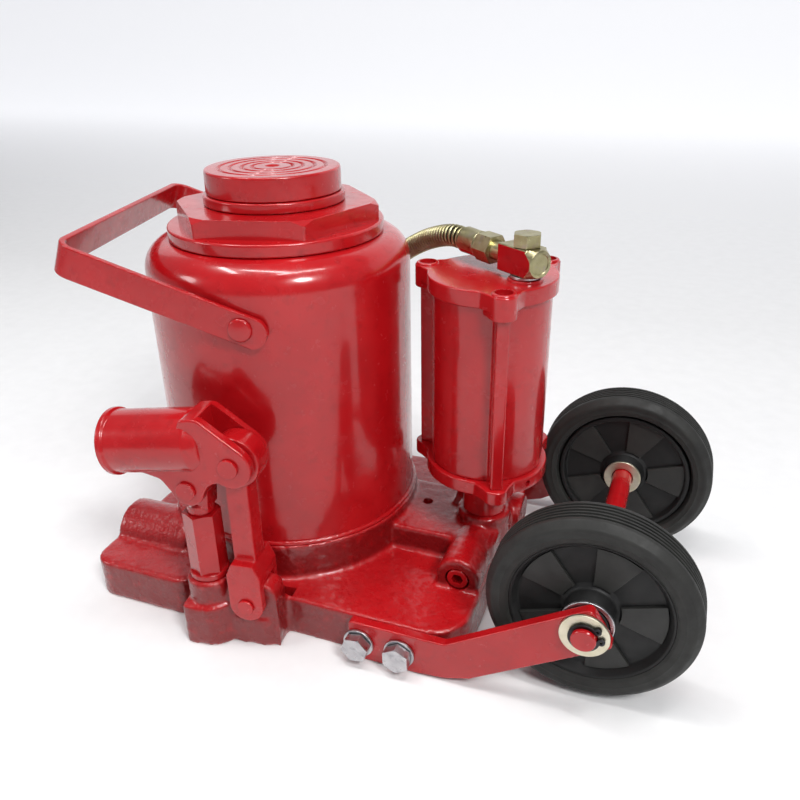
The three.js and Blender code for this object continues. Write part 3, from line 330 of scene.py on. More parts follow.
def blended(tree, amount, first, second):
    node = tree.nodes.new("ShaderNodeMix")
    node.data_type = "RGBA"
    tree.links.new(amount, node.inputs["Factor"])
    for socket, colour in ((node.inputs[6], first), (node.inputs[7], second)):
        if isinstance(colour, tuple):
            socket.default_value = (*colour, 1)
        else:
            tree.links.new(colour, socket)
    return node.outputs[2]


def bumps(tree, shader, *layers):
    """Bumps one over another: each layer is a height, its strength and its depth in millimetres."""
    before = None
    for height, strength, depth in layers:
        node = tree.nodes.new("ShaderNodeBump")
        node.inputs["Strength"].default_value = strength
        node.inputs["Distance"].default_value = depth * MM
        tree.links.new(height, node.inputs["Height"])
        if before:
            tree.links.new(before, node.inputs["Normal"])
        before = node.outputs["Normal"]
    tree.links.new(before, shader.inputs["Normal"])


def enamel(name, pebble=0.0, pebble_size=2.4, painted_shade_on_sides=False):
    """Glossy red enamel, with the faint waves of sprayed paint."""
    look, tree, shader = new_look(name)
    drift = spread(tree, mottle(tree, 45, 2), 0, 1)
    colour = blended(tree, drift, (0.36, 0.0035, 0.006), (0.46, 0.007, 0.01))
    # painted shade: by the "side" attribute the upright sides blend towards a deep red (0.2, 0.004, 0.005),
    # standing in for the shade they get from overhead light
    if painted_shade_on_sides:
        side = tree.nodes.new("ShaderNodeAttribute")
        side.attribute_name = "side"
        colour = blended(tree, side.outputs["Fac"], colour, (0.2, 0.004, 0.005))
    thin = spread(tree, mottle(tree, 7, 5), 0, 1, 0.55, 0.75)
    colour = blended(tree, thin, colour, (0.33, 0.004, 0.006))
    tree.links.new(colour, shader.inputs["Base Color"])
    polish = spread(tree, mottle(tree, 9, 4), 0.16 + pebble * 0.06, 0.3 + pebble * 0.08)
    tree.links.new(polish, shader.inputs["Roughness"])
    shader.inputs["Coat Weight"].default_value = 0.45
    shader.inputs["Coat Roughness"].default_value = 0.05
    shader.inputs["Specular IOR Level"].default_value = 0.42
    layers = [(mottle(tree, 18, 1), 0.14, 0.8), (mottle(tree, 1.7, 1), 0.07, 0.12)]
    if pebble:
        layers.append((mottle(tree, pebble_size, 3), 0.7 * pebble, 1.0))
    bumps(tree, shader, *layers)
    return look


def metal(name, light, dark, rough, grain=(1, 1, 1), size=3.0, scratch_depth=0.05, spots=None):
    """Bare or plated metal with a grain stretched along one direction."""
    look, tree, shader = new_look(name)
    drift = spread(tree, mottle(tree, size * 3, 4), 0, 1)
    colour = blended(tree, drift, dark, light)
    if spots:
        colour = blended(tree, spread(tree, mottle(tree, 6, 5), 0, 1, 0.56, 0.7), colour, spots)
    tree.links.new(colour, shader.inputs["Base Color"])
    shader.inputs["Metallic"].default_value = 1.0
    tree.links.new(spread(tree, mottle(tree, size, 5, grain), *rough), shader.inputs["Roughness"])
    lines = (mottle(tree, size * 0.5, 4, grain), 0.3, scratch_depth)
    bumps(tree, shader, lines, (mottle(tree, 14, 2), 0.1, 0.3))
    return look


def dull(name, first, second, rough, grain_mm, depth, shine=0.5):
    """Rubber or plastic."""
    look, tree, shader = new_look(name)
    colour = blended(tree, spread(tree, mottle(tree, 18, 4), 0, 1), first, second)
    tree.links.new(colour, shader.inputs["Base Color"])
    tree.links.new(spread(tree, mottle(tree, 7, 4), *rough), shader.inputs["Roughness"])
    shader.inputs["Specular IOR Level"].default_value = shine
    bumps(tree, shader, (mottle(tree, grain_mm, 3), 0.4, depth))
    return look


RED = enamel("red enamel")
# the casting's enamel has painted shade on its upright sides
CAST_RED = enamel("red enamel on casting", 0.75, 2.6, painted_shade_on_sides=True)
FORGED_RED = enamel("red enamel on forging", 0.3, 3.2)
STEEL = metal("ground steel", (0.63, 0.63, 0.64), (0.57, 0.57, 0.58), (0.14, 0.24), (1, 1, 14))
BRIGHT_ZINC = metal(
    "bright zinc", (0.6, 0.6, 0.61), (0.42, 0.42, 0.44), (0.24, 0.44), spots=(0.34, 0.34, 0.36),
)
YELLOW_ZINC = metal(
    "yellow zinc", (0.5, 0.46, 0.27), (0.33, 0.29, 0.15), (0.26, 0.46), spots=(0.42, 0.35, 0.28),
)
PALE_ZINC = metal("pale yellow zinc", (0.74, 0.7, 0.56), (0.6, 0.55, 0.4), (0.3, 0.5), spots=(0.66, 0.6, 0.5))
ALLOY = metal("cast alloy", (0.6, 0.6, 0.61), (0.45, 0.45, 0.47), (0.38, 0.6), size=2.0, scratch_depth=0.2)
BLACK_OXIDE = metal("black oxide", (0.06, 0.06, 0.065), (0.03, 0.03, 0.033), (0.3, 0.5))
TYRE = dull("tyre rubber", (0.012, 0.012, 0.011), (0.022, 0.022, 0.02), (0.5, 0.72), 1.4, 0.25, 0.4)
PLASTIC = dull("black plastic", (0.006, 0.006, 0.006), (0.011, 0.011, 0.011), (0.42, 0.6), 1.0, 0.08, 0.35)
WORN_PLASTIC = dull(
    "worn black plastic", (0.016, 0.016, 0.015), (0.026, 0.026, 0.024), (0.4, 0.58), 1.2, 0.1, 0.4,
)
HOSE = dull("hose rubber", (0.012, 0.012, 0.013), (0.026, 0.026, 0.028), (0.42, 0.62), 0.9, 0.12)
FLOOR = dull("pale floor", (0.8, 0.8, 0.8), (0.83, 0.83, 0.83), (0.6, 0.75), 30, 0.2, 0.2)


def piece(name, shape, look, nodes=(), body="jack", sharp=38, weighted=True):
    mesh = mesh_of(name, shape, MM)
    mesh.shade_smooth()
    mesh.set_sharp_from_angle(angle=radians(sharp))
    item = bpy.data.objects.new(name, mesh)
    bpy.context.scene.collection.objects.link(item)
    return dressed(item, look, nodes, body, weighted)


def dressed(item, look, nodes, body, weighted=False):
    item.data.materials.clear()
    item.data.materials.append(look)
    if weighted:
        item.modifiers.new("even shading", "WEIGHTED_NORMAL").keep_sharp = True
    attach(item, body)
    if nodes:
        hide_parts(*nodes)
    return item


# ---- hose, first among the pieces
ROUTE = [
    (121, 25.5, 240.8),
    (111, 32, 240.8),
    (86, 53.5, 231),
    (54, 81, 210),
    (23, 101, 184),
    (-1, 117, 146.5),
    (-18.5, 133, 96),
    (-33, 153, 47),
    (-43, 173, 21),
    (-51, 190.5, 9.5),
    (-56.7, 206.5, 5.6),
]
HOSE_RADIUS = 5.25
COIL_X, COIL_Y, COIL_RADIUS, COIL_TAIL = -114.3, 189.7, 60, 46
COIL_TURNS, COIL_START, COIL_STEPS = 2.205, 16.3, 159
LOW_LAYER, LAYER, TOP_LAYER, VALVE_HEIGHT = 5.55, 10.5, 26.55, 16
SPAN_STEPS = 14


def smooth_step(t):
    t = min(1.0, max(0.0, t))
    return t * t * (3 - 2 * t)


def through(points):
    """A smooth line through points, its speed set by the distances between them."""
    first = points[0] + (points[0] - points[1])
    final = points[-1] + (points[-1] - points[-2])
    chain = [first, *points, final]
    line = []
    for i in range(1, len(chain) - 2):
        p0, p1, p2, p3 = chain[i - 1 : i + 3]
        d0, d1, d2 = [max(1e-4, (b - a).length ** 0.5) for a, b in ((p0, p1), (p1, p2), (p2, p3))]
        t1 = ((p1 - p0) / d0 - (p2 - p0) / (d0 + d1) + (p2 - p1) / d1) * d1
        t2 = ((p2 - p1) / d1 - (p3 - p1) / (d1 + d2) + (p3 - p2) / d2) * d1
        c = -3 * p1 + 3 * p2 - 2 * t1 - t2
        d = 2 * p1 - 2 * p2 + t1 + t2
        for k in range(SPAN_STEPS):
            t = k / SPAN_STEPS
            line.append(p1 + t1 * t + c * t * t + d * t ** 3)
    return line + [points[-1]]


def hose_line():
    line = through([Vector(p) for p in ROUTE])
    for k in range(1, COIL_STEPS + 1):
        t = COIL_TURNS * k / COIL_STEPS
        angle = radians(COIL_START + 360 * t)
        height = LOW_LAYER + LAYER * (floor(t) + smooth_step((t - floor(t) - 0.85) / 0.15))
        line.append(Vector((COIL_X + COIL_RADIUS * cos(angle), COIL_Y + COIL_RADIUS * sin(angle), height)))
    for k in range(1, 11):
        t = k / 10
        height = TOP_LAYER + (VALVE_HEIGHT - TOP_LAYER) * smooth_step(t)
        line.append(Vector((COIL_X - COIL_TAIL * t, COIL_Y + COIL_RADIUS, height)))
    return line


def length_of(line):
    return sum((b - a).length for a, b in zip(line, line[1:]))


LINE = hose_line()


def lay_hose():
    curve = bpy.data.curves.new("air_line", "CURVE")
    curve.dimensions = "3D"
    spline = curve.splines.new("POLY")
    spline.points.add(len(LINE) - 1)
    for point, p in zip(spline.points, LINE):
        point.co = (*(p * MM), 1)
    curve.bevel_depth = HOSE_RADIUS * MM
    curve.bevel_resolution = 6
    curve.use_fill_caps = True
    hose = bpy.data.objects.new("air_line", curve)
    bpy.context.scene.collection.objects.link(hose)
    return dressed(hose, HOSE, ("air_hose", "air_hose_coil"), "jack")


hose = lay_hose()


# ---- node groups for what repeats
def set_input(step, tree, name, value):
    for item in tree.interface.items_tree:
        if item.item_type == "SOCKET" and item.in_out == "INPUT" and item.name == name:
            step[item.identifier] = value


def new_tree(name, inputs):
    tree = bpy.data.node_groups.new(name, "GeometryNodeTree")
    tree.interface.new_socket("Geometry", in_out="INPUT", socket_type="NodeSocketGeometry")
    for label, kind, value in inputs:
        socket = tree.interface.new_socket(label, in_out="INPUT", socket_type=kind)
        if value is not None:
            socket.default_value = value
    tree.interface.new_socket("Geometry", in_out="OUTPUT", socket_type="NodeSocketGeometry")
    return tree


def finish_tree(tree, geometry, given):
    real = tree.nodes.new("GeometryNodeRealizeInstances")
    paint = tree.nodes.new("GeometryNodeSetMaterial")
    out = tree.nodes.new("NodeGroupOutput")
    tree.links.new(geometry, real.inputs[0])
    tree.links.new(real.outputs[0], paint.inputs["Geometry"])
    tree.links.new(given.outputs["Material"], paint.inputs["Material"])
    tree.links.new(paint.outputs[0], out.inputs[0])


def maths(tree, how, a, b=None):
    node = tree.nodes.new("ShaderNodeMath")
    node.operation = how
    for socket, value in zip(node.inputs, (a, b)):
        if isinstance(value, (int, float)):
            socket.default_value = value
        elif value is not None:
            tree.links.new(value, socket)
    return node.outputs[0]


def vectors(tree, how, a, b=None, scale=None):
    node = tree.nodes.new("ShaderNodeVectorMath")
    node.operation = how
    tree.links.new(a, node.inputs[0])
    if b is not None:
        tree.links.new(b, node.inputs[1])
    if scale is not None:
        tree.links.new(scale, node.inputs["Scale"])
    return node.outputs[0]


def round_tree():
    """Copies of a shape, evenly spaced round the Y axis through a centre."""
    tree = new_tree(
        "copies_round_an_axis",
        [
            ("Count", "NodeSocketInt", 6),
            ("Centre", "NodeSocketVector", None),
            ("Material", "NodeSocketMaterial", None),
        ],
    )
    given = tree.nodes.new("NodeGroupInput")
    spots = tree.nodes.new("GeometryNodePoints")
    copies = tree.nodes.new("GeometryNodeInstanceOnPoints")
    number = tree.nodes.new("GeometryNodeInputIndex")
    angles = tree.nodes.new("ShaderNodeCombineXYZ")
    turn = tree.nodes.new("FunctionNodeEulerToRotation")
    step = maths(tree, "DIVIDE", 2 * pi, given.outputs["Count"])
    tree.links.new(maths(tree, "MULTIPLY", number.outputs[0], step), angles.inputs["Y"])
    tree.links.new(angles.outputs[0], turn.inputs[0])
    tree.links.new(given.outputs["Count"], spots.inputs["Count"])
    tree.links.new(given.outputs["Centre"], spots.inputs["Position"])
    tree.links.new(spots.outputs[0], copies.inputs["Points"])
    tree.links.new(given.outputs["Geometry"], copies.inputs["Instance"])
    tree.links.new(turn.outputs[0], copies.inputs["Rotation"])
    finish_tree(tree, copies.outputs[0], given)
    return tree


def wound_tree():
    """A wire wound round a path."""
    tree = new_tree(
        "wire_wound_round_a_path",
        [
            ("Turns", "NodeSocketFloat", 40.0),
            ("Radius", "NodeSocketFloat", 0.006),
            ("Wire", "NodeSocketFloat", 0.001),
            ("Steps", "NodeSocketInt", 700),
            ("Material", "NodeSocketMaterial", None),
        ],
    )
    given = tree.nodes.new("NodeGroupInput")
    path = tree.nodes.new("GeometryNodeMeshToCurve")
    even = tree.nodes.new("GeometryNodeResampleCurve")
    shift = tree.nodes.new("GeometryNodeSetPosition")
    sweep = tree.nodes.new("GeometryNodeCurveToMesh")
    section = tree.nodes.new("GeometryNodeCurvePrimitiveCircle")
    section.inputs["Resolution"].default_value = 10
    across = tree.nodes.new("GeometryNodeInputNormal").outputs[0]
    ahead = tree.nodes.new("GeometryNodeInputTangent").outputs[0]
    share = tree.nodes.new("GeometryNodeSplineParameter").outputs["Factor"]
    angle = maths(tree, "MULTIPLY", maths(tree, "MULTIPLY", share, given.outputs["Turns"]), 2 * pi)
    side = vectors(tree, "CROSS_PRODUCT", ahead, across)
    outward = []
    for way, wave in ((across, "COSINE"), (side, "SINE")):
        reach = maths(tree, "MULTIPLY", maths(tree, wave, angle), given.outputs["Radius"])
        outward.append(vectors(tree, "SCALE", way, scale=reach))
    tree.links.new(given.outputs["Geometry"], path.inputs[0])
    tree.links.new(path.outputs[0], even.inputs["Curve"])
    tree.links.new(given.outputs["Steps"], even.inputs["Count"])
    tree.links.new(even.outputs[0], shift.inputs["Geometry"])
    tree.links.new(vectors(tree, "ADD", *outward), shift.inputs["Offset"])
    tree.links.new(given.outputs["Wire"], section.inputs["Radius"])
    tree.links.new(shift.outputs[0], sweep.inputs["Curve"])
    tree.links.new(section.outputs[0], sweep.inputs["Profile Curve"])
    sweep.inputs["Fill Caps"].default_value = True
    finish_tree(tree, sweep.outputs[0], given)
    return tree


def grown(name, mesh, tree, values, look):
    """The mesh that a node group makes, on an object of its own."""
    start = bpy.data.objects.new(name + "_start", mesh)
    bpy.context.scene.collection.objects.link(start)
    step = start.modifiers.new("grow", "NODES")
    step.node_group = tree
    for label, value in values.items():
        set_input(step, tree, label, value)
    set_input(step, tree, "Material", look)
    result = bpy.data.meshes.new_from_object(start.evaluated_get(bpy.context.evaluated_depsgraph_get()))
    bpy.data.objects.remove(start)
    result.shade_smooth()
    result.set_sharp_from_angle(angle=radians(38))
    item = bpy.data.objects.new(name, result)
    bpy.context.scene.collection.objects.link(item)
    return item


ROUND = round_tree()
WOUND = wound_tree()


# ---- frames of the groups
MOTOR_X, MOTOR_Y = 145, 5
GALLERY_X, GALLERY_Z = 144, 37
RELEASE_Y, RELEASE_Z = -62, 25
ARM_BOLTS, ARM_BOLT_Z = (96, 123.3), 14.6
INLET_Z = 239.45
PUMP = Matrix.Translation((-5.6, -113.5, 0)) @ Matrix.Rotation(radians(7), 4, "Z")
MOTOR = Matrix.Translation((MOTOR_X, MOTOR_Y, 0)) @ Matrix.Rotation(radians(52.8), 4, "Z")
INLET = Matrix.Translation((167.5, -5.8, 0)) @ Matrix.Rotation(radians(-36), 4, "Z")
BAIL_PIVOT = Matrix.Translation((0, 0, 208.2)) @ Matrix.Rotation(radians(13.4 - 90), 4, "Z")
BAIL = BAIL_PIVOT @ Matrix.Rotation(radians(-20.6), 4, "X")
LOBES, LOBE_CIRCLE = (0, 120, 240), 44.5
BARREL_RADIUS, BORE_RADIUS = 37.2, 33.2
PIN_X, LOW_PIN, HIGH_PIN, EYE_PIN = 29.5, 34.2, 135.8, 116.8


# ---- base casting
def base_plan():
    return eased([(-108, 112, 14), (-108, -112, 14), (-33, -112, 10), (-27, -101.2, 5), (160, -101.2, 26),
                  (160, 101.2, 26), (-27, 101.2, 5), (-33, 112, 10)], 0, True, 8)


def pump_lug():
    back = PIN_X + 18.5
    outline = eased(
        [(PIN_X - 14, 0), (PIN_X - 14, LOW_PIN + 14, 14), (back, LOW_PIN + 14, 10), (back, 0)], 0, True, 8,
    )
    plan = eased([(-14.5, 30), (-14.5, -18, 3), (4.3, -18), *arc(0, 0, 18, -60, 60, 8)], 0)
    web = [(PIN_X - 15, 40), (PIN_X - 12, -10), (back - 6, -10), (back + 1, 40)]
    return moved(
        together(slab(plan, 0, 30, 0), disc(15, 0, 47.5), plate(outline, -8, 8, 0), slab(web, 0, 20.5, 0)),
        PUMP,
    )


def base_casting():
    rough = together(
        slab(base_plan(), 0, 29, 0),
        disc(90.3, 0, 54.6, 0, 120),
        block(40, 160, -26, 38, 5, 47),
        shifted(disc(18.5, 5, 57), MOTOR_X, MOTOR_Y),
        along_x(shifted(disc(21, -108, -50), RELEASE_Y, RELEASE_Z)),
        shifted(along_y(disc(15, -56, 42)), GALLERY_X, 0, GALLERY_Z),
        along_x(shifted(disc(14.5, 120, 169), 26, 42)),
        pump_lug(),
    )
    rough = cast(rough, 1.65, 5, 0.27, 4.6)
    rough = ([(x, y, max(0.0, z)) for x, y, z in rough[0]], rough[1])
    tools = [
        ring(82.5, 88, 51, 60, 0, 120),
        disc(57.3, 40, 60, 0, 96),
        moved(disc(9.6, 34, 60), PUMP),
        moved(block(PIN_X - 13.5, PIN_X + 22.5, 8, 16.6, 21.2, 70, 1), PUMP),
        moved(along_y(shifted(disc(4.8, -30, 30), PIN_X, -LOW_PIN)), PUMP),
        shifted(disc(10, 15, 60), MOTOR_X, MOTOR_Y),
        shifted(along_y(disc(8.3, -60, -41.7)), GALLERY_X, 0, GALLERY_Z),
        along_x(shifted(disc(7.6, -110, -76), RELEASE_Y, RELEASE_Z)),
        shifted(turned([(0, 43), (2.6, 43), (3.2, 46.2), (4.6, 48), (0, 48)]), 101, 11),
    ]
    for side in (-1, 1):
        for x in ARM_BOLTS:
            hole = along_y(disc(5.3, -102 if side < 0 else 83, -83 if side < 0 else 102))
            tools.append(shifted(hole, x, 0, ARM_BOLT_Z))
    return carved(rough, *tools)


def mark_painted_shade_sides(item, start=0.25, end=0.95):
    """How upright each point's surface is, as an attribute of the mesh, which the enamel uses to paint shade on
    the upright sides.
    """
    painted_shade_marks = item.data.attributes.new("side", "FLOAT", "POINT")
    values = [smooth_step((1 - abs(v.normal.z) - start) / (end - start)) for v in item.data.vertices]
    painted_shade_marks.data.foreach_set("value", values)


casting = piece(
    "cast_base", base_casting(), CAST_RED, ("base_casting",), sharp=50, weighted=False,
)
# painted shade: marks how upright each point is, so the enamel darkens the upright sides
mark_painted_shade_sides(casting)


# ---- tank, flange and saddle
def weld_bead():
    around, section, rows = 480, 10, []
    points, faces = [], []
    for k in range(around):
        t = 2 * pi * k / around
        size = 1.7 + 0.07 * sin(t * 110) + 0.2 * noise.noise(Vector((cos(t) * 6, sin(t) * 6, 0)))
        rows.append([len(points) + i for i in range(section)])
        for i in range(section):
            a = 2 * pi * i / section
            r = 87.5 + size * cos(a)
            points.append((r * cos(t), r * sin(t), 55.6 + size * sin(a)))
    for k in range(around):
        low, high = rows[k], rows[(k + 1) % around]
        faces += [(low[i], low[(i + 1) % section], high[(i + 1) % section], high[i]) for i in range(section)]
    return points, faces


tank_profile = [
    (87, 51.4), *arc(69, 225.5, 18, 0, 90, 14), (66.4, 243.5), (66.4, 240), *arc(69, 225.5, 14.5, 90, 0, 6),
    (83.5, 51.4),
]
piece("tank_wall", turned(tank_profile, 0, 160), RED, ("tank_shell",))
piece("weld_bead", weld_bead(), RED)

flange = turned(
    [(40.3, 236.4), (49, 236.4), (49, 243.8), (70, 243.8, 1.2), (70, 252, 1.6), (60, 252), (40.3, 252)],
    0,
    144,
)
hex_limit = turned([(0, 251), (69.4, 251), (69.4, 259.6), (64.4, 263.5), (0, 263.5)], 0.8, 144)
hex_part = common(slab(eased(hexagon(68.3, radians(12.8)), 2.2), 251, 263.5, 0.3), hex_limit)
piece("gland", carved(fused(flange, hex_part), disc(40.3, 230, 270, 0, 96)), RED, ("gland_nut",))
piece(
    "wiper_collar",
    turned([(40.4, 263.8), (45.5, 263.8), (45.5, 270), (40.4, 270)], 1.1),
    RED,
    ("rod_wiper",),
)
ram_profile = [
    (0, 56), (42.6, 56), (44.6, 58), (44.6, 78), (40, 78, 0.4), (40, 270), (12, 270), (12, 252), (0, 252),
]
piece("lifting_ram", turned(ram_profile, 0, 128), STEEL, ("ram",), "ram_and_saddle")


def saddle_profile():
    line = [(0, 254.4), (11.7, 254.4), (11.7, 270.3), (43.3, 270.3, 0.8), (43.3, 285, 1.5)]
    for r in (34, 27, 19.5, 13):
        line += [(r + 1.5, 285, 0.5), (r, 283.4, 0.3), (r - 1.5, 285, 0.5)]
    return line + [(5, 285, 0.5), (3.6, 284, 0.5), (0, 284)]


piece("saddle_head", turned(saddle_profile(), 0, 128), RED, ("saddle",), "ram_and_saddle")
filler = turned([(0, 0), (8, 0), (8, 3, 1), (4.5, 3.6, 0.5), (4.5, 4.6, 0.5), (0, 4.6)])
filler = carved(filler, block(-1, 1, -6, 6, 3.2, 6))
filler = common(filler, disc(9, -1, 3.5))
piece(
    "filler_cap",
    spun(shifted(along_x(filler), 87.05, 0, 178), 140),
    PLASTIC,
    ("filler_plug",),
)


# ---- carrying bail
def bail_shape():
    inner, outer, reach, corner, width = 88, 91.6, 115.9, 8, 19.3
    bend = lambda r, a, b: arc(inner - corner, -reach + 3.6 + corner, r, a, b, 8)
    half = [(inner, 16), (outer, 16), *bend(corner + 3.6, 0, -90)]
    inside = bend(corner, -90, 0)
    flip = lambda line: [(-x, y) for x, y in reversed(line)]
    strip = slab([*half, *flip(half), *flip(inside), *inside], -width / 2, width / 2, 0.9)
    limit = fused(
        shifted(along_x(disc(width / 2, -93, 93)), 0, 16 - width / 2),
        block(-93, 93, -reach - 1, 16 - width / 2, -width / 2 - 0.1, width / 2 + 0.1),
    )
    return carved(common(strip, limit), along_x(disc(4.8, -100, 100)))


piece("carrying_handle", moved(bail_shape(), BAIL), FORGED_RED, ("bail",), "carrying_bail")
for label, side in (("near", 0), ("far", 180)):
    rivet = turned(
        [(0, 85.6), (4.5, 85.6), (4.5, 91.9), (7.6, 91.9, 0.5), (6.6, 93.7, 1.4), (3, 94.3), (0, 94.4)]
    )
    rivet = spun(along_x(rivet), side)
    piece("handle_rivet_" + label, moved(rivet, BAIL_PIVOT), RED, ("bail_rivet_" + label,))


# ---- hand pump
def pump_barrel():
    hexed = hex_head(12, 47.8, 95, pi / 6)
    body = fused(hexed, turned([(0, 47.8), (12.6, 47.8), (12.6, 51.8), (0, 51.8)], 0.8), disc(9.1, 39, 48.5))
    return carved(body, turned([(0, 57.7), (6.3, 57.7), (6.3, 94), (7.4, 96), (0, 96)]))


def rod_head():
    head = eased(
        [(-8.5, 100), (8.5, 100), *arc(1.5, EYE_PIN, 9.5, -30, 90), *arc(-1.5, EYE_PIN, 9.5, 90, 210)]
    )
    slot = [*arc(-1.7, EYE_PIN, 5.1, 90, 270), *arc(1.7, EYE_PIN, 5.1, -90, 90)]
    body = fused(
        turned([(0, 95.4), (8.6, 95.4), (8.6, 101), (7, 103), (0, 103)], 0.6), plate(head, -6.9, 6.9, 0.8),
    )
    return carved(body, plate(slot, -20, 20, 0))


def pump_link():
    clevis = [
        *arc(PIN_X, LOW_PIN, 11.3, -180, 0, 16), (PIN_X + 11.3, 57), (PIN_X + 7.2, 66), (PIN_X - 7.2, 66),
        (PIN_X - 11.3, 57),
    ]
    rough = together(
        block(PIN_X - 7.2, PIN_X + 7.2, -7.5, 7.5, 57, 134),
        shifted(along_y(disc(16.3, -7.5, 7.5)), PIN_X, 0, HIGH_PIN),
        plate(clevis, -13.7, 13.7, 0),
    )
    rough = cast(rough, 0.75, 5, 0.07, 4)
    slot = block(0, 60, -8.4, 8.4, 0, LOW_PIN + 16.5, 0)
    holes = [shifted(along_y(disc(4.8, -40, 40)), PIN_X, 0, z) for z in (LOW_PIN, HIGH_PIN)]
    return carved(rough, slot, *holes)


def socket_shape():
    lay = Matrix.Translation((0, 0, 144.5)) @ Matrix.Rotation(radians(-7.6), 4, "Y")
    tube = turned(
        [
            (0, -53), (18.5, -53), (21, -51.6, 1), (21, -48.6, 1.2), (19.6, -47.2, 1), (19.6, 5, 4),
            (15.6, 12, 3), (0, 12),
        ],
        0.6,
    )
    hole = turned([(0, -54), (18, -54), (16.6, -51.4, 0.8), (16.5, -9), (0, -9)])
    cheek = eased(
        [
            (-36, 126), (-26, 125.3), (-16, 122.6, 6), (-10.7, 115.2),
            *arc(0.5, EYE_PIN, 10.8, 200, 350, 12), (14.2, 121, 5), (18, 123.4, 4),
            *arc(PIN_X, HIGH_PIN, 13.8, 235, 415, 18), (12.5, 165.6, 8), (1.5, 164, 3), (-3, 151, 6),
            (-16, 142), (-34, 138),
        ],
        0.0,
    )
    cheeks = cast(plate(cheek, -13.8, 13.8, 0), 0.7, 4, 0.05, 4)
    mouth = plate([(11.6, 190), (11.6, 140), (-13, 131), (-13, 80), (70, 80), (70, 190)], -8.3, 8.3, 0)
    body = fused(cheeks, moved(along_x(tube), lay))
    pins = [shifted(along_y(disc(4.8, -40, 40)), x, 0, z) for x, z in ((0, EYE_PIN), (PIN_X, HIGH_PIN))]
    return carved(body, moved(along_x(hole), lay), mouth, *pins)


def pin_shape(head):
    """A pin with a head at its near end and a ring at its far end."""
    line = [(0, -15.7), (head, -15.7, 0.5), (head, -14.1), (4.5, -14.1)]
    return along_y(turned(line + [(4.5, 14.1), (head, 14.1), (head, 15.1, 0.3), (0, 15.1)]))


piece("pump_barrel", moved(pump_barrel(), PUMP), RED, ("pump_cylinder",))
piece(
    "pump_rod",
    moved(turned([(0, 58), (6, 58), (6, 96), (0, 96)], 0.5), PUMP),
    STEEL,
    ("pump_plunger",),
    "plunger",
)
piece("pump_rod_head", moved(rod_head(), PUMP), FORGED_RED, (), "plunger")
piece("pump_link", moved(pump_link(), PUMP), FORGED_RED, ("fulcrum_link",), "link")
piece("lever_socket", moved(socket_shape(), PUMP), RED, ("handle_socket",), "handle", sharp=50)
for label, node_name, x, z, body, head in (
    ("low_pin", "link_pin_lower", PIN_X, LOW_PIN, "jack", 5.4),
    ("high_pin", "link_pin_upper", PIN_X, HIGH_PIN, "link", 6.2),
    ("eye_pin", "plunger_pin", 0, EYE_PIN, "handle", 6.2),
):
    piece(label, moved(shifted(pin_shape(head), x, 0, z), PUMP), RED, (node_name,), body)


# ---- air motor
def cap_outline(reach=40.5):
    line = []
    for a in LOBES:
        line += [(reach * cos(radians(a - 19)), reach * sin(radians(a - 19)), 5)]
        turn = Matrix.Rotation(radians(a), 2)
        line += [tuple(turn @ Vector(p)) for p in arc(LOBE_CIRCLE, 0, 8, -78, 78, 12)]
        line += [(reach * cos(radians(a + 19)), reach * sin(radians(a + 19)), 5)]
        line += arc(0, 0, reach, a + 25, a + 95, 20)
    return eased(line, 0)


def lobe_foot(angle, low, high):
    lobe = arc(LOBE_CIRCLE, 0, 8, -78, 78, 12)
    line = eased([(30, -11, 2), (38, -10.5, 4), *lobe, (38, 10.5, 4), (30, 11, 2)])
    return spun(slab(line, low, high, 0.8), angle)


def at_lobe(shape, angle):
    return spun(shifted(shape, LOBE_CIRCLE), angle)


def rib_outline(reach=48.1):
    line = []
    for a in LOBES:
        turn = Matrix.Rotation(radians(a), 2)
        rib = [(36.98, -4.0, 2.2), (reach, -4.0, 1.4), (reach, 4.0, 1.4), (36.98, 4.0, 2.2)]
        line += [(*(turn @ Vector(p[:2])), p[2]) for p in rib]
        line += arc(0, 0, BARREL_RADIUS, a + 11, a + 109, 28)
    return eased(line)


def top_cap():
    body = slab(cap_outline(), 217, 227.5, 1.1)
    body = fused(body, *(lobe_foot(a, 213, 219) for a in LOBES))
    seat = Vector((22.5, -10.8))
    seat.rotate(Matrix.Rotation(radians(-52.8), 2))
    body = fused(body, shifted(turned([(0, 225), (11.4, 225), (10.5, 229, 0.6), (0, 229)]), *seat))
    rims = [
        at_lobe(turned([(0, 226), (7.6, 226), (7.0, 228.7, 1.1), (5, 228.7, 0.4), (0, 228.7)]), a)
        for a in LOBES
    ]
    body = fused(body, *rims)
    tools = [disc(BORE_RADIUS, 212, 220), ring(32.2, 37.5, 212, 217, 0), shifted(disc(5.3, 216, 240), *seat)]
    tools += [at_lobe(disc(5.3, 221.5, 240), a) for a in LOBES]
    tools += [at_lobe(disc(2.5, 212, 230), a) for a in LOBES]
    return carved(body, *tools)


def bottom_cap():
    body = slab(cap_outline(), 90.5, 100, 1.1)
    vent = shifted(spun(along_x(disc(2, 30, 44)), -85.8), 0, 0, 95.2)
    tools = [disc(10.3, 89, 102), vent] + [at_lobe(disc(2.5, 92, 102), a) for a in LOBES]
    return carved(body, *tools)


def barrel():
    body = fused(slab(rib_outline(), 100.3, 212.7, 0.3), disc(BARREL_RADIUS, 105, 216.7, 0.3, 128))
    bolt_holes = [at_lobe(disc(2.5, 99, 220), a) for a in LOBES]
    return carved(body, disc(BORE_RADIUS, 99, 220, 0, 96), *bolt_holes)


def socket_bolt():
    head = turned([(0, 91.8), (2.2, 91.8), (2.2, 221.8), (4.9, 221.8), (4.9, 226, 0.7), (0, 226)])
    return carved(head, slab(hexagon(3.1), 222.6, 230, 0))


def neck():
    body = turned(
        [(0, 45), (9.7, 45), (9.7, 57.3), (15, 57.3, 0.6), (15, 90.2), (10, 90.2), (10, 99), (0, 99)]
    )
    return carved(body, disc(6.3, 30, 110))


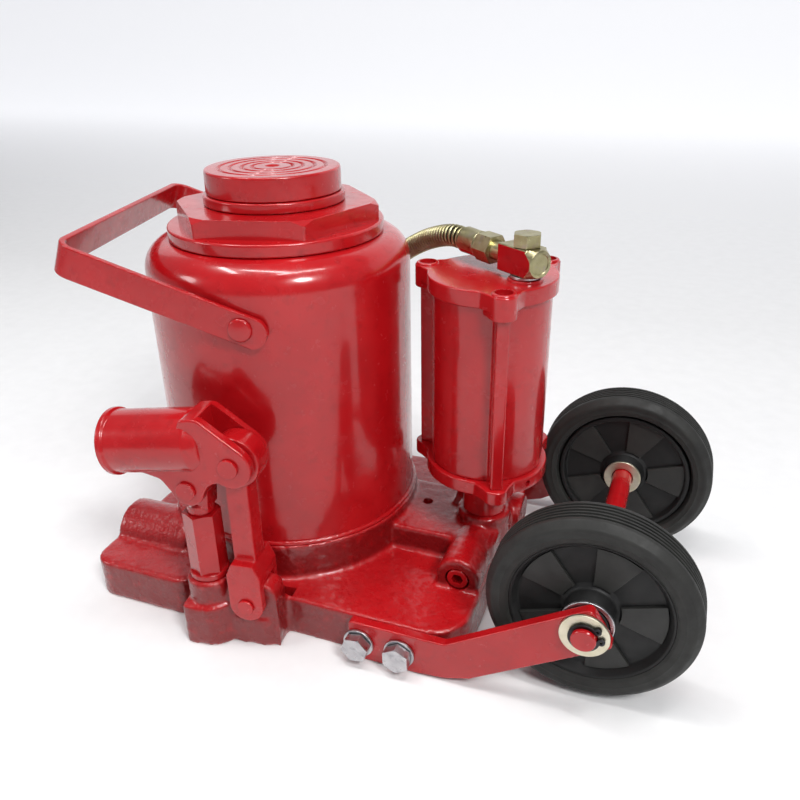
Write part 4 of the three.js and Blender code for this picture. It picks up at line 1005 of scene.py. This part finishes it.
piece("motor_head", moved(top_cap(), MOTOR), RED, ("motor_top_cap",))
piece("motor_foot", moved(bottom_cap(), MOTOR), RED, ("motor_bottom_cap",))
piece("motor_tube", moved(barrel(), MOTOR), RED, ("motor_barrel",))
piece("motor_stem", moved(neck(), MOTOR), RED, ("motor_neck",))
for i, a in enumerate(LOBES):
    piece("motor_bolt_%d" % (i + 1), moved(at_lobe(socket_bolt(), a), MOTOR), RED, ("tie_bolt_%d" % (i + 1),))


# ---- air inlet
def sprayed(item, towards, limit):
    """Red overspray on the faces turned towards a direction."""
    item.data.materials.append(RED)
    for face in item.data.polygons:
        if face.normal.dot(Vector(towards)) > limit:
            face.material_index = 1


def elbow():
    bar = block(-17, 12.5, -8.25, 8.25, 231.2, 247.7, 1.1)
    nose = turned([
        (0, -40), (30, -40), (30, 7), (10.7, 7.5, 1), (8.1, 12.4, 0.6), (6.2, 12.5), (5.8, 11.9), (0, 11.9),
    ])
    body = common(bar, shifted(along_x(nose), 0, 0, INLET_Z))
    return carved(body, disc(5.3, 230, 250), shifted(along_x(disc(4, -18, -4)), 0, 0, INLET_Z))


START = Vector((153.747, 4.192, INLET_Z))
END = START + Vector((-32.747, 21.308, 1.35))
FITTING = Matrix.Translation(START) @ (END - START).to_track_quat("Z", "Y").to_matrix().to_4x4()
block_piece = piece("inlet_elbow", moved(elbow(), INLET), YELLOW_ZINC, ("elbow_block",))
sprayed(block_piece, (-0.588, -0.809, 0), 0.9)
piece(
    "inlet_washer",
    moved(ring(5.3, 9, 229.3, 230.9, 0.35), INLET),
    BRIGHT_ZINC,
    ("banjo_washer",),
)
banjo = fused(hex_head(8.8, 248, 255.5, 0.3), disc(5, 221.6, 249.7, 0.4))
piece("inlet_bolt", moved(banjo, INLET), YELLOW_ZINC, ("banjo_bolt",))
nut = fused(hex_head(9.6, 10, 22.5, 0, True), disc(6, 0.9, 12, 0.4))
piece("line_nut", moved(nut, FITTING), YELLOW_ZINC, ("hose_nut",))
sleeve = [
    (0, 22.8), (7.4, 22.8, 0.4), (8.3, 24, 0.6), (8.1, 31), (8.3, 37.6, 0.6), (7.4, 38.7, 0.4), (0, 38.7),
]
ferrule = piece(
    "line_ferrule",
    moved(turned(sleeve), FITTING),
    YELLOW_ZINC,
    ("hose_ferrule",),
)
sprayed(ferrule, (0, -0.35, -0.94), 0.72)

GUARD_PITCH = 3.45


def guard_wire():
    """A spring round the first four spans of the hose's route."""
    path = [p * MM for p in LINE[: 4 * SPAN_STEPS + 1]]
    mesh = bpy.data.meshes.new("guard_path")
    mesh.from_pydata(path, [(i, i + 1) for i in range(len(path) - 1)], [])
    turns = length_of(path) / (GUARD_PITCH * MM)
    values = {"Turns": turns, "Radius": 6.35 * MM, "Wire": 0.98 * MM, "Steps": int(ceil(turns * 18))}
    return grown("guard_wire", mesh, WOUND, values, YELLOW_ZINC)


guard = dressed(guard_wire(), YELLOW_ZINC, ("spring_guard",), "jack")


# ---- squeeze valve on the hose's end
VALVE = Matrix.Translation((-161.5, 249.7, 0))


def valve_body():
    side = eased([
        (-4, 6, 3), (-10, 0.4, 2), (-52, 0.4, 2), (-58, 6, 3), (-58, 24, 3), (-50, 30, 3), (-10, 30, 3),
        (-4, 22, 3),
    ])
    body = plate(side, -9.9, 9.9, 2)
    lug = plate(eased([(-19, 26), (-9, 26), (-9, 35, 5), (-14, 40, 5), (-19, 35, 5)]), -3, 3, 0.5)
    end = [(0, -8), (7.9, -8), (7.9, -0.3, 1), (0, -0.3)]
    tail = [(0, -72), (5.6, -72, 0.5), (6.5, -70, 0.5), (6.5, -56), (0, -56)]
    for z in (-64, -67.5):
        tail[3:3] = [(6.5, z - 0.8), (5.7, z, 0.3), (6.5, z + 0.8)]
    body = fused(body, lug, shifted(along_x(turned(end)), 0, 0, 16), shifted(along_x(turned(tail)), 0, 0, 16))
    return carved(body, shifted(along_y(disc(2.3, -20, 20)), -14, 0, 35))


def valve_lever():
    cheek = eased([*arc(-14, 35, 4, -60, 60), (-20, 42.5, 3), (-62, 47, 1.2), (-62, 43.5, 1.2)])
    body = carved(plate(cheek, -7, 7, 0.6), block(-74, 6, -3.5, 3.5, 15, 41))
    return fused(body, shifted(along_y(disc(2, -7, 7)), -14, 0, 35))


valve = piece("squeeze_valve", moved(valve_body(), VALVE), ALLOY, ("air_valve_body",))
lever = piece(
    "squeeze_lever",
    moved(valve_lever(), VALVE),
    BRIGHT_ZINC,
    ("air_valve_lever",),
    "valve_lever",
)


# ---- screws in the base
valve_screw = carved(
    turned([(0, 0), (6.6, 0, 0.8), (6.9, 22), (4, 27), (0, 27)]), block(-1, 1, -9, 9, -1, 2.4),
)
piece(
    "release_screw",
    shifted(along_x(valve_screw), -107, RELEASE_Y, RELEASE_Z),
    BRIGHT_ZINC,
    ("release_valve_screw",),
    "release_valve",
)
plug_screw = carved(turned([(0, 0), (7.2, 0, 1), (7.2, 14), (0, 14)]), slab(hexagon(4.1), -1, 8, 0))
piece(
    "gallery_screw",
    moved(plug_screw, Matrix.Translation((GALLERY_X, -56, GALLERY_Z)) @ UPRIGHT),
    RED,
    ("gallery_plug",),
)


# ---- wheel arms, axle and wheels
AXLE_X, AXLE_Z = 232.6, 63.6
RISE = radians(32)


def arm_shape():
    drop = 27 / cos(RISE)
    end = (AXLE_X + 11 * cos(RISE), AXLE_Z + 11 * sin(RISE))
    top = (end[0] - 13.5 * sin(RISE), end[1] + 13.5 * cos(RISE))
    bottom = (end[0] + 13.5 * sin(RISE), end[1] - 13.5 * cos(RISE))
    bend = top[0] - (top[1] - 29) / tan(RISE)
    foot = bottom[0] - bottom[1] / tan(RISE)
    line = eased([
        (88.7, 0.6, 2.5), (foot - drop * 0.75, 0.6), (foot - 4, 2.6, 20), (foot + 12, 12 * tan(RISE)),
        (*bottom, 3.5), (*top, 3.5), (bend, 29, 6), (88.7, 29, 2.5),
    ], 0)
    return plate(line, -108.1, -101.5, 0.9)


def to_axle(shape):
    return shifted(shape, AXLE_X, 0, AXLE_Z)


def near(shape):
    """A turned shape whose heights run outward to the near side."""
    return moved(shape, Matrix(((1, 0, 0, 0), (0, 0, -1, 0), (0, 1, 0, 0), (0, 0, 0, 1))))


def clip_shape():
    line = [*arc(0, 0, 8.9, 108, 432, 40), *reversed(arc(0, 0, 6.6, 112, 428, 40))]
    body = slab(line, 110.8, 112.1, 0.2)
    for a in (112, 68):
        x, y = 9.3 * cos(radians(a)), 9.3 * sin(radians(a))
        eyelet = carved(shifted(disc(2.2, 110.8, 112.1, 0.2), x, y), shifted(disc(0.9, 110, 113), x, y))
        body = fused(body, eyelet)
    return spun(body, -70)


def tyre_shape():
    line = [
        (47.0, 70.6), (48.6, 66.4, 1), (51, 65.9), (52, 65.5, 0.5), (53.5, 65.9), (56.8, 65.5, 4),
        (61.4, 70.2, 3),
    ]
    for y in (73.4, 76.4, 79.4, 82.4, 85.4):
        line += [(61.5, y - 0.95, 0.4), (59.2, y - 0.6, 0.2), (59.2, y + 0.6, 0.2), (61.5, y + 0.95, 0.4)]
    line += [
        (61.4, 88.6, 3), (56.8, 93.3, 4), (53.5, 92.9), (52, 93.3, 0.5), (51, 92.9), (48.6, 92.3, 1),
        (47.0, 91.2),
    ]
    return near(turned(line, 0, 144))


def hub_shape():
    line = [
        (7.4, 101.0), (11.6, 101.0, 1), (14.6, 87, 3), (17.5, 85.4, 2), (42.2, 85.4, 2), (45.4, 90.8, 2),
        (46.8, 91.3, 0.3), (46.7, 84, 0.5), (46.7, 76), (46.3, 68.6, 1), (43.2, 68.6, 1), (42, 73.4, 1),
        (17, 73.4, 2), (14.6, 71.8, 1), (12.2, 65.4, 1), (7.4, 65.4),
    ]
    return near(turned(line, 0, 120))


def wheel_sector():
    line = [*arc(0, 0, 42.6, -18, 18, 14), *reversed(arc(0, 0, 17.2, -18, 18, 6))]
    return together(near(slab(line, 84.6, 87.4, 0.35)), near(slab(line, 71.4, 74.2, 0.35)))


for side in ("near", "far"):
    turn = (lambda shape: shape) if side == "near" else mirrored
    own = lambda shape: turn(to_axle(shape))
    piece("arm_" + side, turn(arm_shape()), RED, ("wheel_arm_" + side,))
    for i, x in enumerate(ARM_BOLTS):
        number = "_%d" % (i + 1)
        piece(
            "washer_" + side + number,
            turn(shifted(near(ring(5.3, 10, 108.5, 110.3, 0.4)), x, 0, ARM_BOLT_Z)),
            BRIGHT_ZINC,
            ("arm_washer_" + side + number,),
        )
        bolt = fused(hex_head(9.2, 110.9, 117.1, 0.2 + i * 0.35), disc(5, 86, 111.5))
        piece("bolt_" + side + number, turn(shifted(near(bolt), x, 0, ARM_BOLT_Z)), BRIGHT_ZINC,
              ("arm_bolt_" + side + number,))
    for label, shape, look, nodes, slot in (
        ("outer_washer_", ring(7.3, 14, 108.4, 110.4, 0.5), PALE_ZINC, ("axle_washer_" + side,), "yellow_zinc"),
        ("clip_", clip_shape(), BLACK_OXIDE, ("axle_clip_" + side,), "black_oxide"),
        ("thin_ring_", ring(12.4, 15.2, 98.6, 100.6, 0.5), BRIGHT_ZINC, (), "bright_zinc"),
        ("side_washer_", ring(7.4, 13, 63.1, 65.1, 0.5), PALE_ZINC, ("inner_washer_" + side,), "yellow_zinc"),
    ):
        piece(label + side, own(near(shape)), look, nodes)
    piece(
        "rubber_" + side,
        own(tyre_shape()),
        TYRE,
        ("tyre_" + side,),
        "wheel_" + side,
        sharp=30,
    )
    piece("wheel_disc_" + side, own(hub_shape()), PLASTIC, ("hub_" + side,), "wheel_" + side)
    wedge = turn(wheel_sector())
    centre = Vector((AXLE_X, 0, AXLE_Z)) * MM
    fan = grown(
        "wheel_fan_" + side,
        mesh_of("sector", wedge, MM),
        ROUND,
        {"Count": 5, "Centre": centre},
        WORN_PLASTIC,
    )
    dressed(fan, WORN_PLASTIC, (), "wheel_" + side, True)

rod = [(0, 114.9), (6.4, 114.9, 0.4), (7, 114.2, 0.3), (7, 112.4), (5.8, 112.4), (5.8, 110.5), (7, 110.5)]
rod += [(r, -y, *more) for r, y, *more in reversed(rod)]
piece("axle_rod", to_axle(near(turned(rod))), RED, ("axle",))


# ---- hidden parts
def piston_spring():
    path = [Vector((MOTOR_X, MOTOR_Y, z)) * MM for z in (102, 193.8)]
    mesh = bpy.data.meshes.new("spring_axis")
    mesh.from_pydata(path, [(0, 1)], [])
    values = {"Turns": 6.0, "Radius": 14 * MM, "Wire": 1.5 * MM, "Steps": 6 * 28}
    return grown("piston_spring", mesh, WOUND, values, STEEL)


spring = dressed(piston_spring(), STEEL, ("air_return_spring",), "jack")
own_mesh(spring)
for hidden in ("lift_cylinder", "air_piston"):
    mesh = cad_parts[hidden].data
    mesh.materials.clear()
    mesh.materials.append(STEEL)


# ---- floor and light
def lay_floor():
    """A floor that curves up into a wall far behind."""
    line = [
        (-4, 0), (2.4, 0),
        *[(2.4 + 1.6 * sin(t), 1.6 - 1.6 * cos(t)) for t in (radians(6 * k) for k in range(1, 16))], (4, 5),
    ]
    points = [(x, y, z) for y, z in line for x in (-8, 8)]
    mesh = bpy.data.meshes.new("floor")
    mesh.from_pydata(points, [], [(2 * k, 2 * k + 1, 2 * k + 3, 2 * k + 2) for k in range(len(line) - 1)])
    mesh.shade_smooth()
    mesh.materials.append(FLOOR)
    item = bpy.data.objects.new("floor", mesh)
    bpy.context.scene.collection.objects.link(item)


def light_wall():
    """The wall and the far part of the floor glow evenly, as a lit backdrop does."""
    tree = FLOOR.node_tree
    shader = tree.nodes["Principled BSDF"]
    split = tree.nodes.new("ShaderNodeSeparateXYZ")
    tree.links.new(place(tree), split.inputs[0])
    shader.inputs["Emission Color"].default_value = (0.95, 0.96, 1, 1)
    tree.links.new(spread(tree, split.outputs["Y"], 0, 0.56, 0.6, 2.6), shader.inputs["Emission Strength"])


def lamp(name, spot, target, size, power, width=0):
    data = bpy.data.lights.new(name, "AREA")
    data.shape, data.size, data.energy = ("RECTANGLE" if width else "DISK"), size, power
    if width:
        data.size_y = width
    item = bpy.data.objects.new(name, data)
    item.location = spot
    item.rotation_euler = (Vector(target) - Vector(spot)).to_track_quat("-Z", "Y").to_euler()
    bpy.context.scene.collection.objects.link(item)


lay_floor()
light_wall()
lamp("key", (1.0, -0.85, 1.35), (0, 0, 0.12), 0.42, 18)
lamp("side", (-1.3, -0.9, 0.8), (0, 0, 0.15), 0.5, 4.5)
for i, x in enumerate((-0.75, -0.1, 0.55)):
    lamp("ceiling_%d" % (i + 1), (x, -0.25, 1.9), (x * 0.4, 0, 0), 0.9, 8, 0.12)
world = bpy.data.worlds.new("pale room")
world.use_nodes = True
world.node_tree.nodes["Background"].inputs["Color"].default_value = (0.95, 0.95, 1, 1)
world.node_tree.nodes["Background"].inputs["Strength"].default_value = 0.25
bpy.context.scene.world = world
bpy.context.scene.view_settings.view_transform = "Standard"
